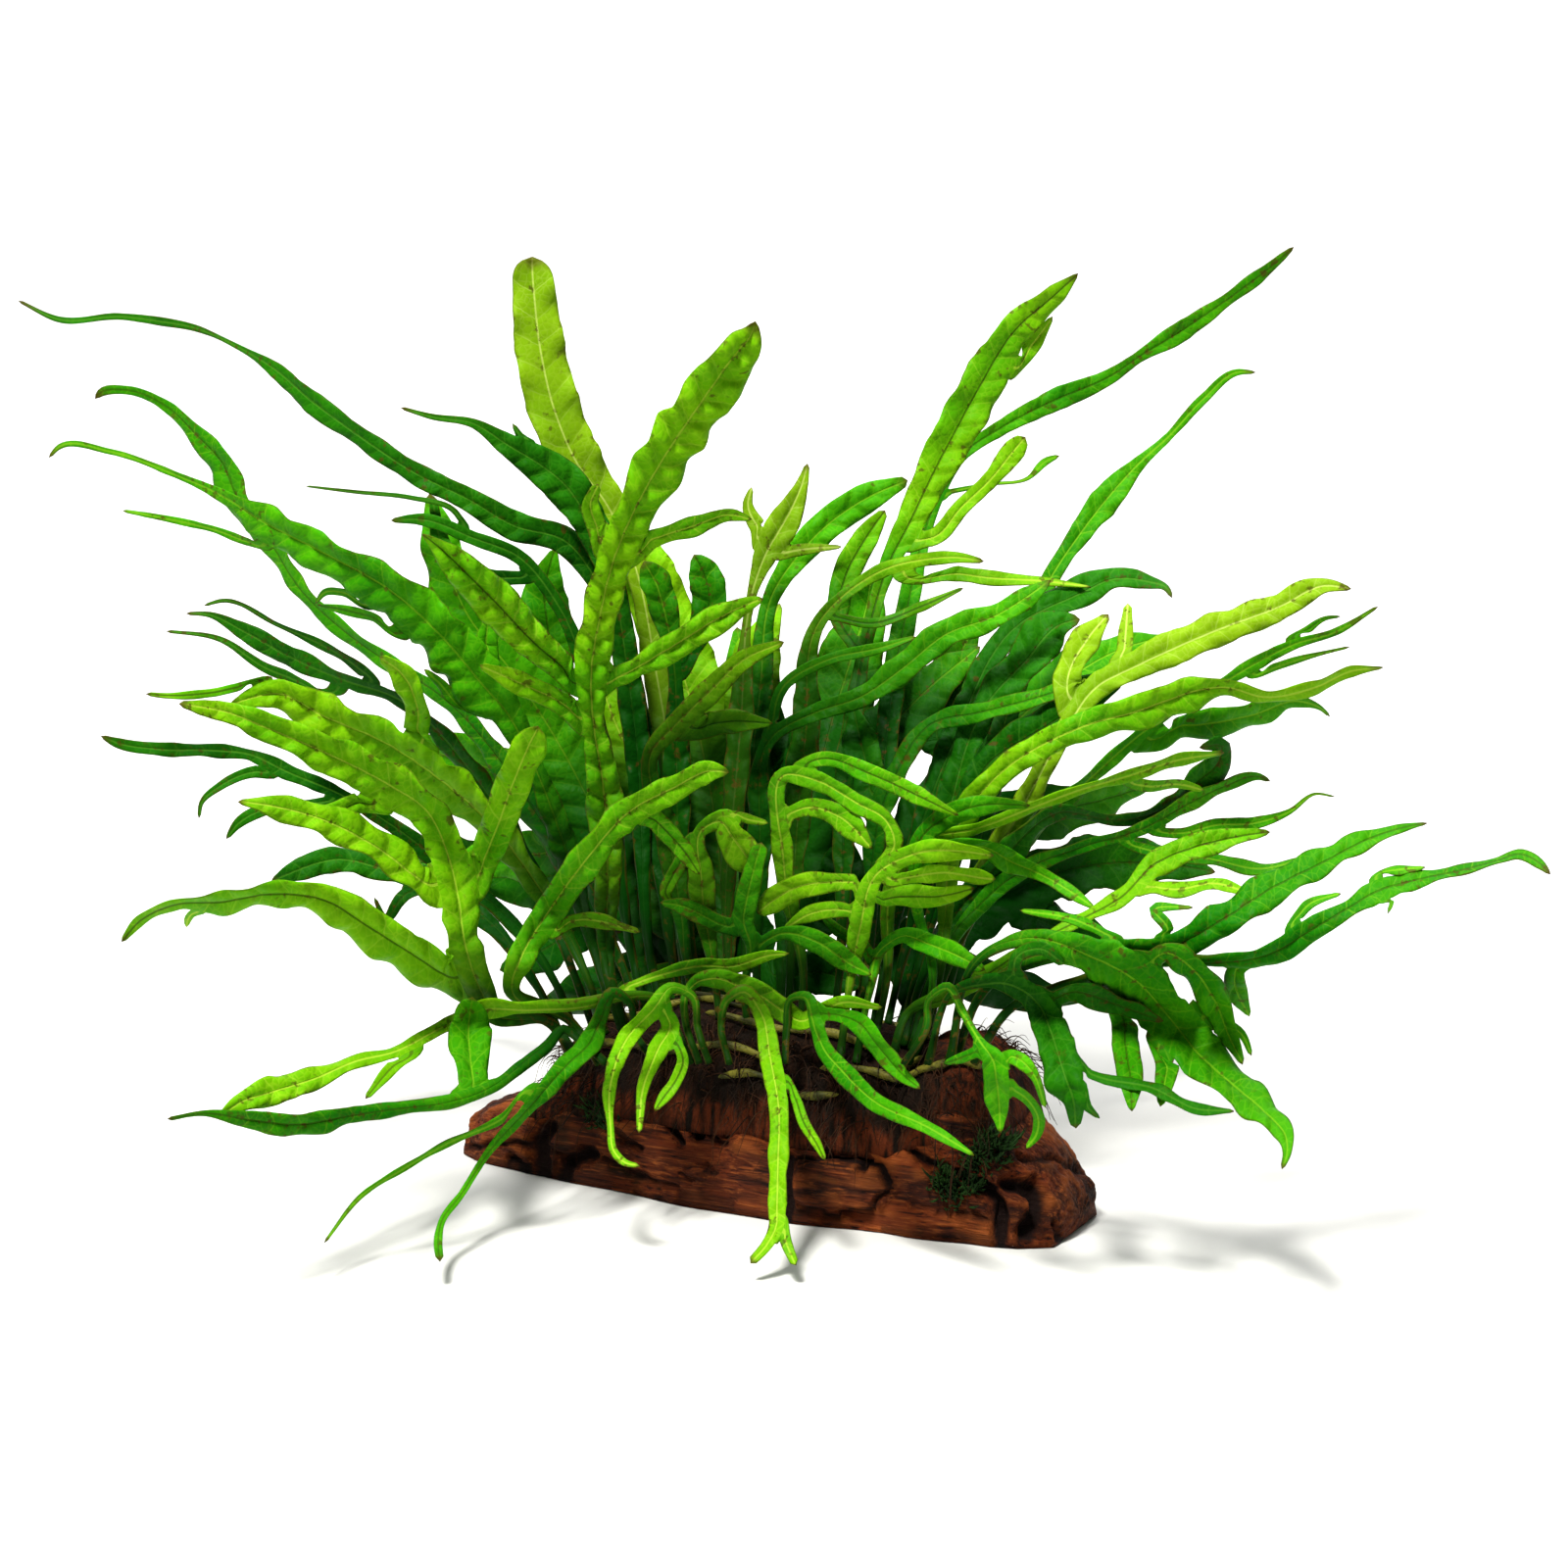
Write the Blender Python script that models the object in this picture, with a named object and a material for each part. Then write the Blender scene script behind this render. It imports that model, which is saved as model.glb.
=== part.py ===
"""Java fern on driftwood: a lobed water fern whose creeping rhizome holds a piece of red driftwood.

Frame: +X to the right, +Y away from the viewer, +Z up, origin on the wood's flat sawn underside.

Every frond lies in a leaf surface of its own, and these surfaces are nested one behind another like
the pages of a half-open book, so that no two fronds can meet. A rib is a list of sight points
(x, y, blade width), read by eye on a front view of VIEW_PIXELS a side; sight_point() carries them
into the world.
"""

from math import cos, pi, radians, sin, tan
from typing import NamedTuple

import bmesh
import bpy
import numpy as np
from mathutils.bvhtree import BVHTree

# Driving sizes, in metres
WOOD_START = -0.08125
WOOD_END = 0.075
WOOD_TURN = radians(-26)
WOOD_STATIONS = 26
WOOD_ARC_POINTS = 13
WOOD_LEVEL_POWER = 0.8
WOOD_RISE_POWER = 0.6
ROOTS_HALF_LENGTH = 0.062
ROOTS_ARC_MARGIN = 2
ROOTS_THICKNESS = 0.015
ROOTS_RIM = 0.0012
GAP = 0.0003
ROOT_CLEARANCE = 0.0014
ROOT_LEAN = 0.15
BLADE_THICKNESS = 0.0007
STALK_THICKNESS = 0.0010
STATION_STEP = 0.018

# How a rib's curve is sampled, and how lobes leave their rib, in view pixels
CURVE_STEPS = 12
DIRECTION_REACH = 1.5
STALK_WIDTH = 13
LEAST_ROOT = 7
LEAST_SLOT = 6
SLOT_GAP = 2
SLOT_SHARED = 0.4
KNOT_GAP = 24
LOBE_CLEAR = 2.5
LOBE_START = 0.6
LOBE_LIFT = 0.3
LIFT_REACH = 40.0
ROOT_TRIALS = 100

# The front view on which the ribs are read
VIEW_PIXELS = 1600
VIEW_WIDTH = 0.365
VIEW_DISTANCE = 1.10
VIEW_ELEVATION = radians(13)
VIEW_HEIGHT = 0.098
CROWN_SIGHT = (790, 1040)
PIXEL = VIEW_WIDTH / VIEW_PIXELS

# The leaf surfaces: half the clump's depth at the crown, and how it opens with distance from it
CROWN_HALF_DEPTH = 0.017
END_SPREAD = 0.4
CROWN_REACH = 0.090
CROWN_FOOT = (790, 1085)
OPENING = 0.60
FORWARD_DROOP = 0.30
ROLL = 0.14
ROLL_STARTS = 0.030
ROLL_WAVES = 8
ROLL_SWING = 3
ROLL_SWING_WAVES = 2
ROLL_DRIFT = 20

# The worn grooves of the wood: their depth, their waves round it, and how they drift and fade along it
GROOVE_DEPTH = 0.05
GROOVES_ROUND = 5
GROOVE_DRIFT = 60
GROOVE_FADE = 140

# The wood's outline: place along it, height and half width there, in millimetres
WOOD_OUTLINE = (
    (-82, 8, 10), (-75, 13, 14), (-68, 16, 16), (-60, 19, 18), (-50, 24, 19), (-30, 27, 22), (0, 28, 24),
    (25, 26, 23), (36, 25, 22), (42, 31, 22), (49, 34, 21), (56, 31, 20), (62, 22, 20),
    (68, 18, 18), (75, 10, 13),
)


class Frond(NamedTuple):
    """One frond: its name, its colour name, and its ribs, the main one first, base to tip."""

    name: str
    tone: str
    ribs: tuple


# Front to back. The order is the order of the leaf surfaces.
FRONDS = (
    Frond("frond_hanging_fork", "bright", (
        ((736, 1048, 8), (742, 1020, 9), (758, 1010, 12), (775, 1030, 18), (786, 1079, 22),
         (795, 1133, 20), (794, 1187, 20), (793, 1230, 18), (792, 1252, 16), (783, 1270, 12),
         (766, 1289, 8)),
        ((796, 1246, 14), (803, 1270, 12), (812, 1291, 8)),
        ((792, 1092, 8), (810, 1117, 10), (821, 1147, 12), (834, 1168, 10), (842, 1184, 4)),
    )),
    Frond("frond_drooping_pair", "bright", (
        ((712, 1050, 8), (706, 1016, 9), (686, 1008, 13), (664, 1032, 18), (640, 1060, 20),
         (622, 1110, 14), (623, 1150, 7), (627, 1176, 9), (638, 1187, 8), (653, 1190, 4)),
        ((676, 1028, 14), (684, 1046, 20), (671, 1072, 20), (657, 1106, 13), (652, 1156, 5)),
        ((690, 1062, 10), (697, 1082, 12), (690, 1102, 13), (676, 1122, 12), (668, 1134, 5)),
    )),
    Frond("frond_three_lobed", "mid", (
        ((946, 1048, 7), (949, 1018, 7), (966, 1006, 8), (983, 1034, 8), (1002, 1066, 12),
         (1013, 1080, 22), (1017, 1102, 28),
         (1020, 1125, 22), (1021, 1156, 4)),
        ((1000, 1072, 12), (985, 1078, 12), (963, 1085, 4)),
        ((1016, 1078, 12), (1038, 1080, 16), (1054, 1094, 13), (1067, 1130, 4)),
        ((1024, 1106, 10), (1049, 1122, 13), (1060, 1142, 13), (1058, 1157, 10), (1047, 1172, 4)),
    )),
    Frond("frond_over_wood", "mid", (
        ((803, 1046, 7), (808, 1018, 7), (822, 1016, 9), (833, 1044, 13), (842, 1072, 18),
         (859, 1092, 20), (894, 1125, 18),
         (944, 1149, 14), (994, 1179, 4)),
        ((834, 1034, 14), (856, 1036, 14), (878, 1045, 22), (894, 1064, 21), (925, 1100, 13),
         (939, 1111, 4)),
    )),
    Frond("frond_zigzag", "bright", (
        ((700, 1044, 8), (700, 1014, 9), (712, 1000, 13), (732, 998, 20), (756, 1007, 26), (778, 1017, 27),
         (799, 1031, 25), (818, 1042, 20), (837, 1033, 17), (858, 1023, 14), (900, 1028, 5)),
    )),
    Frond("frond_floor_left", "mid", (
        ((648, 1054, 8), (642, 1022, 8), (626, 1012, 11), (612, 1040, 16), (603, 1063, 25),
         (581, 1085, 22), (541, 1128, 14),
         (498, 1176, 8), (472, 1217, 7), (450, 1249, 7), (447, 1270, 9), (449, 1287, 8)),
        ((572, 1090, 12), (549, 1109, 13), (514, 1140, 8), (455, 1167, 7), (412, 1192, 6),
         (369, 1220, 5), (331, 1268, 3)),
    )),
    Frond("frond_low_left", "mid", (
        ((588, 1058, 8), (576, 1050, 9), (558, 1068, 12), (530, 1090, 12), (510, 1105, 12), (466, 1122, 14),
         (412, 1130, 14), (358, 1138, 18), (305, 1147, 22), (251, 1142, 18), (208, 1136, 6),
         (171, 1142, 4)),
        ((484, 1112, 26), (480, 1080, 40), (478, 1050, 44), (482, 1018, 26)),
    )),
    Frond("frond_long_strip", "bright", (
        ((690, 1050, 8), (672, 1020, 9), (636, 1016, 10), (595, 1024, 12), (541, 1028, 12),
         (487, 1031, 20), (445, 1052, 14),
         (402, 1074, 12), (364, 1083, 14), (321, 1101, 22), (272, 1116, 28), (245, 1125, 18),
         (222, 1141, 5)),
        ((626, 1014, 10), (670, 996, 10), (718, 985, 16), (745, 986, 16), (788, 974, 10),
         (805, 973, 3)),
        ((440, 1052, 14), (420, 1070, 14), (396, 1094, 13), (373, 1121, 5)),
    )),
    Frond("frond_pale_rib_low", "dark", (
        ((975, 1010, 8), (1024, 1002, 18), (1060, 1025, 30), (1072, 1052, 38), (1086, 1096, 38),
         (1096, 1125, 24), (1098, 1151, 6)),
        ((1034, 1000, 14), (1038, 976, 15), (1062, 968, 15), (1086, 984, 6)),
        ((1066, 1024, 18), (1093, 1012, 22), (1140, 1025, 22), (1187, 1042, 5)),
        ((1082, 1082, 10), (1123, 1100, 10), (1176, 1111, 12), (1220, 1132, 11), (1259, 1134, 4)),
        ((1096, 1108, 12), (1106, 1124, 12), (1122, 1141, 4)),
    )),
    Frond("frond_drooping_right", "mid", (
        ((1000, 978, 9), (1057, 958, 18), (1112, 976, 42), (1160, 1002, 52), (1196, 1042, 56),
         (1222, 1074, 48), (1255, 1104, 38), (1290, 1134, 28), (1312, 1161, 17), (1313, 1178, 9),
         (1308, 1193, 4)),
        ((1200, 1030, 20), (1240, 1046, 20), (1265, 1053, 11), (1277, 1077, 4)),
        ((1150, 1016, 24), (1148, 1060, 28), (1154, 1103, 26), (1155, 1134, 5)),
        ((1196, 1066, 18), (1192, 1086, 24), (1188, 1108, 20), (1184, 1129, 5)),
        ((1164, 990, 20), (1190, 972, 20), (1214, 986, 26), (1240, 1022, 30), (1256, 1062, 18),
         (1268, 1086, 5)),
    )),
    Frond("frond_bright_left", "bright", (
        ((556, 1040, 12), (505, 1035, 22), (490, 1010, 30), (475, 965, 34), (467, 913, 38),
         (457, 872, 42), (434, 826, 40), (400, 803, 42), (336, 770, 40), (270, 742, 30),
         (235, 728, 24), (183, 718, 6)),
        ((408, 806, 20), (375, 815, 24), (326, 833, 21), (303, 830, 5)),
        ((462, 910, 26), (439, 903, 30), (388, 867, 35), (336, 839, 34), (285, 824, 24),
         (243, 818, 4)),
        ((472, 904, 24), (485, 891, 27), (505, 850, 34), (521, 806, 37), (540, 760, 33),
         (549, 741, 18)),
        ((485, 1005, 28), (461, 998, 34), (418, 972, 39), (375, 945, 39), (332, 919, 34),
         (278, 912, 24), (224, 920, 21), (181, 922, 10), (143, 939, 12), (124, 961, 4)),
        ((210, 922, 8), (192, 937, 9), (190, 946, 3)),
    )),
    Frond("frond_bright_centre", "bright", (
        ((580, 1040, 10), (522, 1008, 18), (533, 974, 28), (564, 924, 32), (600, 875, 33),
         (644, 827, 30), (687, 804, 27), (728, 786, 18), (744, 788, 5)),
        ((655, 824, 16), (682, 850, 21), (698, 868, 20), (714, 892, 5)),
        ((546, 962, 12), (566, 946, 14), (592, 938, 16), (614, 940, 14), (632, 945, 10),
         (653, 951, 4)),
    )),
    Frond("frond_longest", "mid", (
        ((1030, 1030, 9), (1100, 1002, 12), (1195, 979, 12), (1236, 980, 12), (1298, 972, 22),
         (1335, 951, 24), (1376, 927, 20), (1405, 910, 25), (1448, 898, 16), (1494, 888, 10),
         (1530, 878, 8), (1551, 872, 9), (1572, 882, 9), (1582, 892, 3)),
        ((1312, 962, 10), (1335, 924, 10), (1368, 912, 5)),
        ((1262, 982, 14), (1260, 1002, 22), (1275, 1037, 5)),
        ((1404, 914, 6), (1420, 920, 5), (1416, 932, 3)),
        ((1396, 912, 8), (1413, 893, 11), (1454, 885, 4)),
    )),
    Frond("frond_broad_right", "mid", (
        ((1006, 1008, 9), (1100, 970, 14), (1205, 962, 26), (1247, 939, 34), (1298, 906, 34),
         (1349, 881, 28), (1401, 855, 17), (1444, 842, 5), (1456, 840, 3)),
        ((1150, 970, 12), (1131, 955, 10), (1100, 940, 11), (1041, 929, 4)),
        ((1186, 966, 10), (1192, 948, 12), (1178, 930, 11), (1217, 926, 4)),
    )),
    Frond("frond_blunt_sheets", "mid", (
        ((760, 1004, 8), (767, 962, 14), (759, 940, 20), (762, 919, 22), (768, 893, 22),
         (777, 860, 16)),
        ((764, 950, 16), (733, 942, 19), (713, 932, 21), (695, 924, 17), (674, 921, 5)),
        ((768, 968, 12), (800, 952, 14), (836, 962, 24), (861, 979, 22), (889, 995, 5)),
    )),
    Frond("frond_fan", "bright", (
        ((868, 1000, 9), (878, 946, 23), (894, 893, 18), (938, 870, 22), (989, 869, 17),
         (1014, 873, 4)),
        ((890, 900, 10), (920, 896, 13), (964, 890, 16), (1005, 896, 12), (1016, 897, 4)),
        ((884, 922, 12), (915, 915, 20), (960, 914, 22), (994, 906, 5)),
        ((886, 900, 12), (850, 900, 20), (817, 904, 26), (790, 918, 26), (773, 932, 12)),
        ((880, 932, 10), (856, 928, 17), (828, 932, 17), (800, 948, 5)),
    )),
    Frond("frond_centre_droop", "bright", (
        ((730, 1000, 8), (716, 900, 28), (718, 845, 14), (735, 838, 22), (748, 855, 30),
         (760, 871, 33), (772, 887, 30)),
        ((730, 836, 8), (746, 830, 11), (764, 836, 11), (784, 840, 4)),
        ((714, 850, 12), (702, 870, 17), (685, 896, 15), (679, 911, 12), (685, 922, 5)),
    )),
    Frond("frond_low_centre", "mid", (
        ((888, 1010, 8), (902, 966, 12), (922, 954, 16), (944, 962, 22), (985, 979, 18),
         (1005, 990, 5)),
        ((893, 986, 8), (878, 962, 14), (856, 950, 14), (838, 932, 4)),
    )),
    Frond("frond_curled_centre", "bright", (
        ((820, 1000, 8), (800, 880, 20), (803, 790, 16), (833, 796, 20), (874, 819, 20),
         (906, 839, 18), (913, 862, 16), (894, 886, 9)),
        ((812, 784, 12), (838, 774, 15), (889, 790, 20), (941, 814, 17), (978, 832, 4)),
        ((806, 830, 14), (823, 824, 17), (858, 834, 26), (880, 854, 18), (890, 866, 5)),
    )),
    Frond("frond_mottled", "bright", (
        ((930, 1030, 9), (974, 1014, 18), (1018, 987, 16), (1063, 959, 9), (1101, 940, 12),
         (1147, 914, 18), (1177, 883, 24), (1218, 865, 28), (1259, 855, 20), (1296, 849, 4)),
        ((1160, 902, 14), (1200, 908, 15), (1240, 902, 13), (1280, 914, 4)),
    )),
    Frond("frond_green_strip", "mid", (
        ((952, 1000, 8), (934, 910, 13), (940, 856, 18), (984, 826, 24), (1024, 820, 14),
         (1051, 822, 4)),
        ((928, 884, 12), (965, 866, 16), (1007, 865, 20), (1030, 878, 22), (1064, 893, 14),
         (1094, 911, 13), (1117, 927, 4)),
    )),
    Frond("frond_bullate", "bright", (
        ((622, 1000, 14), (620, 900, 27), (618, 827, 38), (613, 786, 34), (606, 745, 22),
         (603, 690, 34), (613, 625, 36), (624, 578, 36), (649, 517, 42), (672, 476, 52),
         (718, 407, 50), (749, 363, 43), (765, 343, 26), (771, 328, 5)),
        ((622, 562, 18), (608, 535, 20), (602, 515, 19), (610, 494, 8)),
        ((632, 562, 18), (659, 552, 20), (706, 537, 20), (747, 525, 12), (767, 530, 4)),
        ((600, 708, 20), (585, 691, 25), (544, 655, 35), (508, 617, 43), (475, 584, 38),
         (442, 553, 13), (431, 545, 3)),
        ((606, 703, 16), (646, 683, 20), (690, 657, 30), (731, 632, 29), (769, 614, 12),
         (779, 611, 4)),
        ((602, 742, 18), (574, 718, 24), (533, 698, 24), (490, 679, 8)),
    )),
    Frond("frond_tongue", "bright", (
        ((905, 1000, 8), (912, 900, 17), (938, 860, 12), (997, 845, 12), (1053, 824, 12),
         (1101, 806, 10), (1152, 791, 12), (1203, 775, 12), (1249, 768, 5)),
        ((1140, 794, 8), (1171, 802, 12), (1204, 800, 10), (1228, 806, 4)),
    )),
    Frond("frond_broad_left", "bright", (
        ((600, 1000, 8), (540, 890, 25), (500, 840, 34), (452, 798, 44), (395, 759, 45),
         (326, 729, 42), (285, 708, 31), (254, 713, 19), (234, 720, 4)),
        ((430, 780, 20), (424, 762, 25), (427, 728, 24), (411, 688, 22), (388, 670, 10)),
        ((300, 716, 10), (259, 700, 9), (216, 707, 9), (167, 710, 6), (149, 708, 3)),
    )),
    Frond("frond_right_blade", "bright", (
        ((958, 1000, 8), (985, 830, 28), (1028, 783, 25), (1080, 752, 28), (1118, 737, 30),
         (1157, 727, 33), (1193, 714, 35), (1224, 704, 29), (1249, 701, 18), (1290, 711, 14),
         (1342, 701, 14), (1380, 684, 10), (1411, 681, 3)),
    )),
    Frond("frond_mid_bright", "bright", (
        ((704, 1000, 8), (684, 860, 27), (666, 765, 18), (690, 739, 22), (726, 704, 25),
         (759, 673, 20), (800, 655, 6)),
        ((684, 752, 14), (712, 742, 24), (745, 736, 26), (788, 738, 5)),
    )),
    Frond("frond_dark_left", "dark", (
        ((565, 1000, 8), (450, 880, 21), (347, 811, 13), (293, 788, 17), (254, 770, 13),
         (213, 766, 14), (162, 765, 14), (116, 757, 9), (103, 751, 3)),
        ((282, 786, 12), (250, 790, 11), (225, 802, 9), (205, 820, 5), (203, 835, 3)),
        ((346, 816, 10), (310, 822, 12), (270, 826, 13), (241, 842, 10), (231, 856, 3)),
    )),
    Frond("frond_whisker_right", "mid", (
        ((950, 1000, 8), (1040, 890, 19), (1110, 862, 12), (1167, 845, 13), (1208, 822, 16),
         (1249, 802, 13), (1285, 792, 7), (1296, 797, 3)),
        ((1172, 848, 10), (1206, 850, 11), (1240, 842, 14), (1280, 840, 13), (1316, 828, 6),
         (1342, 810, 3), (1362, 813, 2)),
        ((1140, 858, 10), (1190, 872, 12), (1234, 877, 14), (1285, 887, 12), (1336, 875, 4)),
    )),
    Frond("frond_curled_right", "dark", (
        ((940, 1000, 8), (1020, 880, 28), (1080, 829, 15), (1142, 837, 11), (1190, 824, 18),
         (1224, 796, 27), (1244, 776, 27), (1246, 761, 18), (1224, 763, 4)),
    )),
    Frond("frond_many_lobed_left", "mid", (
        ((615, 1000, 8), (575, 860, 27), (540, 770, 20), (515, 724, 36), (497, 704, 50),
         (451, 650, 52), (400, 604, 48), (326, 562, 36), (264, 530, 33), (231, 508, 14),
         (174, 482, 7), (113, 461, 6), (59, 457, 5), (50, 467, 3)),
        ((296, 554, 10), (272, 556, 9), (215, 539, 7), (174, 530, 7), (125, 521, 3)),
        ((446, 652, 12), (400, 635, 11), (346, 621, 8), (324, 617, 3)),
        ((484, 690, 20), (494, 662, 28), (498, 632, 8)),
        ((500, 740, 14), (470, 722, 13), (448, 696, 11), (433, 683, 3)),
        ((404, 616, 10), (374, 612, 11), (350, 604, 9), (332, 604, 7), (322, 616, 3)),
    )),
    Frond("frond_rising_centre", "mid", (
        ((772, 1000, 8), (775, 860, 26), (790, 750, 14), (833, 727, 18), (879, 711, 22),
         (920, 683, 28), (966, 647, 30), (1015, 629, 26), (1053, 606, 18), (1072, 592, 4)),
        ((786, 770, 10), (800, 700, 12), (843, 674, 12), (899, 661, 11), (935, 650, 4)),
    )),
    Frond("frond_left_cluster", "dark", (
        ((588, 1000, 8), (490, 800, 23), (405, 712, 12), (349, 693, 14), (290, 667, 22),
         (249, 644, 17), (213, 627, 6), (190, 626, 3)),
        ((392, 702, 10), (347, 668, 10), (283, 637, 5), (226, 613, 4), (208, 618, 3)),
        ((400, 716, 10), (342, 702, 12), (272, 682, 11), (224, 652, 6), (170, 644, 3)),
    )),
    Frond("frond_thin_right", "mid", (
        ((962, 1000, 8), (1050, 850, 20), (1110, 796, 14), (1150, 760, 14), (1200, 722, 11),
         (1247, 697, 10), (1280, 677, 14), (1321, 657, 10), (1362, 645, 8), (1406, 619, 3)),
        ((1306, 664, 8), (1331, 645, 8), (1352, 631, 5), (1368, 629, 2)),
        ((1256, 694, 8), (1285, 686, 9), (1331, 671, 6), (1377, 660, 2)),
        ((1132, 772, 14), (1183, 742, 25), (1229, 739, 28), (1280, 729, 26), (1324, 715, 13),
         (1347, 722, 5), (1357, 731, 3)),
    )),
    Frond("frond_yellow_right", "pale", (
        ((945, 1000, 8), (1040, 830, 27), (1090, 740, 20), (1118, 702, 26), (1157, 681, 28),
         (1195, 663, 35), (1244, 642, 33), (1306, 619, 30), (1352, 598, 16), (1379, 601, 3)),
        ((1146, 686, 14), (1148, 657, 16), (1151, 616, 8)),
        ((1092, 734, 20), (1090, 690, 28), (1110, 652, 28), (1131, 627, 8)),
    )),
    Frond("frond_strip_right", "mid", (
        ((884, 1000, 8), (910, 800, 23), (951, 739, 18), (1002, 727, 20), (1053, 714, 18),
         (1120, 693, 15), (1175, 685, 3)),
        ((902, 846, 20), (890, 800, 32), (878, 756, 34), (870, 716, 5)),
    )),
    Frond("frond_shaded", "dark", (
        ((934, 1000, 8), (978, 850, 25), (1010, 778, 30), (1053, 750, 37), (1105, 719, 28),
         (1145, 697, 5)),
    )),
    Frond("frond_pale_rib_high", "dark", (
        ((916, 1000, 8), (962, 850, 28), (1010, 714, 30), (1048, 673, 41), (1079, 639, 33),
         (1102, 632, 6)),
    )),
    Frond("frond_level_strips", "bright", (
        ((806, 1000, 8), (822, 750, 30), (838, 632, 14), (872, 599, 12), (903, 581, 15),
         (944, 571, 14), (975, 569, 13), (1004, 573, 4)),
        ((868, 604, 10), (903, 597, 14), (959, 585, 16), (1011, 590, 15), (1062, 593, 9),
         (1113, 599, 2)),
        ((846, 628, 8), (890, 636, 10), (940, 619, 10), (983, 600, 3)),
    )),
    Frond("frond_hooked_dark", "dark", (
        ((900, 1000, 8), (972, 760, 26), (1040, 637, 27), (1100, 607, 32), (1138, 591, 25),
         (1172, 594, 13), (1190, 600, 7), (1196, 610, 3)),
    )),
    Frond("frond_behind_left", "dark", (
        ((548, 1006, 8), (450, 905, 25), (388, 886, 24), (347, 877, 26), (298, 890, 20),
         (277, 899, 4)),
        ((430, 900, 12), (408, 918, 13), (394, 938, 9), (382, 916, 3)),
    )),
    Frond("frond_short_pair", "mid", (
        ((700, 1000, 8), (690, 760, 28), (688, 680, 14), (677, 620, 30), (668, 592, 32),
         (657, 573, 8)),
        ((692, 690, 10), (712, 650, 24), (724, 612, 38), (716, 580, 30), (708, 566, 8)),
    )),
    Frond("frond_hand", "pale", (
        ((744, 1000, 8), (756, 740, 27), (772, 590, 14), (783, 562, 26), (796, 540, 32),
         (810, 514, 24), (819, 492, 12), (824, 473, 5)),
        ((788, 552, 18), (771, 534, 18), (763, 516, 11), (767, 497, 4)),
        ((790, 566, 12), (817, 561, 12), (859, 558, 3)),
    )),
    Frond("frond_tall_right", "bright", (
        ((856, 1000, 8), (864, 800, 26), (885, 650, 14), (909, 571, 19), (929, 532, 28),
         (952, 484, 38), (975, 440, 44), (1000, 394, 44), (1036, 337, 33), (1075, 302, 22),
         (1100, 279, 3)),
        ((1006, 390, 14), (1034, 372, 18), (1056, 348, 17), (1074, 323, 4)),
        ((925, 552, 16), (954, 548, 18), (980, 519, 17), (1011, 489, 18), (1036, 458, 23),
         (1046, 446, 12)),
        ((880, 668, 12), (856, 630, 18), (862, 590, 28), (883, 550, 26), (903, 521, 8)),
    )),
    Frond("frond_shaded_left", "dark", (
        ((650, 1000, 8), (610, 740, 18), (566, 612, 14), (529, 568, 15), (483, 549, 14),
         (431, 530, 13), (399, 531, 4)),
        ((540, 590, 12), (480, 584, 20), (454, 560, 19), (441, 506, 7)),
        ((480, 548, 7), (462, 520, 6), (420, 508, 5), (364, 502, 4), (312, 496, 2)),
    )),
    Frond("frond_broad_dark", "dark", (
        ((668, 1000, 8), (645, 720, 28), (618, 574, 28), (600, 530, 36), (575, 493, 42),
         (554, 476, 38), (518, 454, 24), (483, 432, 10), (440, 425, 6), (409, 416, 3)),
        ((540, 466, 10), (532, 448, 9), (523, 432, 3)),
    )),
    Frond("frond_longest_left", "dark", (
        ((690, 1000, 8), (655, 760, 27), (615, 604, 20), (575, 551, 29), (526, 537, 29),
         (477, 509, 24), (426, 484, 22), (364, 443, 20), (318, 409, 22), (280, 376, 14),
         (241, 353, 5), (200, 335, 7), (164, 328, 9), (123, 323, 7), (60, 326, 6), (19, 307, 3)),
    )),
    Frond("frond_arching_right", "mid", (
        ((970, 1000, 8), (1030, 720, 26), (1070, 594, 18), (1100, 548, 22), (1138, 499, 28),
         (1162, 473, 14), (1190, 448, 9), (1228, 407, 11), (1262, 380, 7), (1281, 380, 3)),
    )),
    Frond("frond_arc_behind", "mid", (
        ((762, 1000, 8), (776, 700, 25), (790, 603, 18), (811, 571, 26), (836, 543, 32),
         (883, 509, 33), (926, 490, 8)),
    )),
    Frond("frond_tall_blunt", "pale", (
        ((710, 1000, 8), (672, 700, 28), (640, 556, 26), (620, 516, 38), (588, 471, 50),
         (566, 419, 54), (552, 360, 52), (545, 300, 44), (543, 272, 32), (543, 262, 14)),
    )),
    Frond("frond_curved_left", "mid", (
        ((640, 1000, 8), (560, 850, 27), (450, 710, 16), (385, 668, 16), (352, 644, 16),
         (305, 599, 15), (277, 555, 20), (244, 512, 25), (226, 471, 27), (200, 443, 18),
         (172, 416, 11), (128, 398, 9), (103, 401, 8), (97, 407, 3)),
    )),
    Frond("frond_longest_high", "mid", (
        ((882, 1000, 8), (922, 640, 25), (956, 510, 12), (980, 466, 13), (1021, 437, 16),
         (1075, 409, 23), (1133, 384, 16), (1164, 363, 12), (1197, 343, 21), (1249, 308, 14),
         (1292, 276, 12), (1320, 252, 3)),
        ((958, 504, 6), (1010, 494, 4), (1049, 488, 4), (1067, 471, 8), (1081, 465, 3)),
    )),
    Frond("frond_back_left", "mid", (
        ((660, 1010, 12), (602, 820, 54), (526, 690, 56), (474, 622, 44), (454, 570, 34),
         (446, 534, 26), (438, 504, 5)),
        ((580, 800, 26), (520, 790, 44), (450, 770, 40), (380, 764, 5)),
        ((548, 720, 26), (560, 660, 44), (556, 600, 34), (566, 560, 5)),
        ((610, 856, 24), (560, 870, 40), (500, 876, 34), (440, 900, 4)),
    )),
    Frond("frond_back_high", "bright", (
        ((742, 1010, 12), (730, 840, 58), (706, 720, 64), (674, 620, 52), (650, 560, 36),
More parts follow.
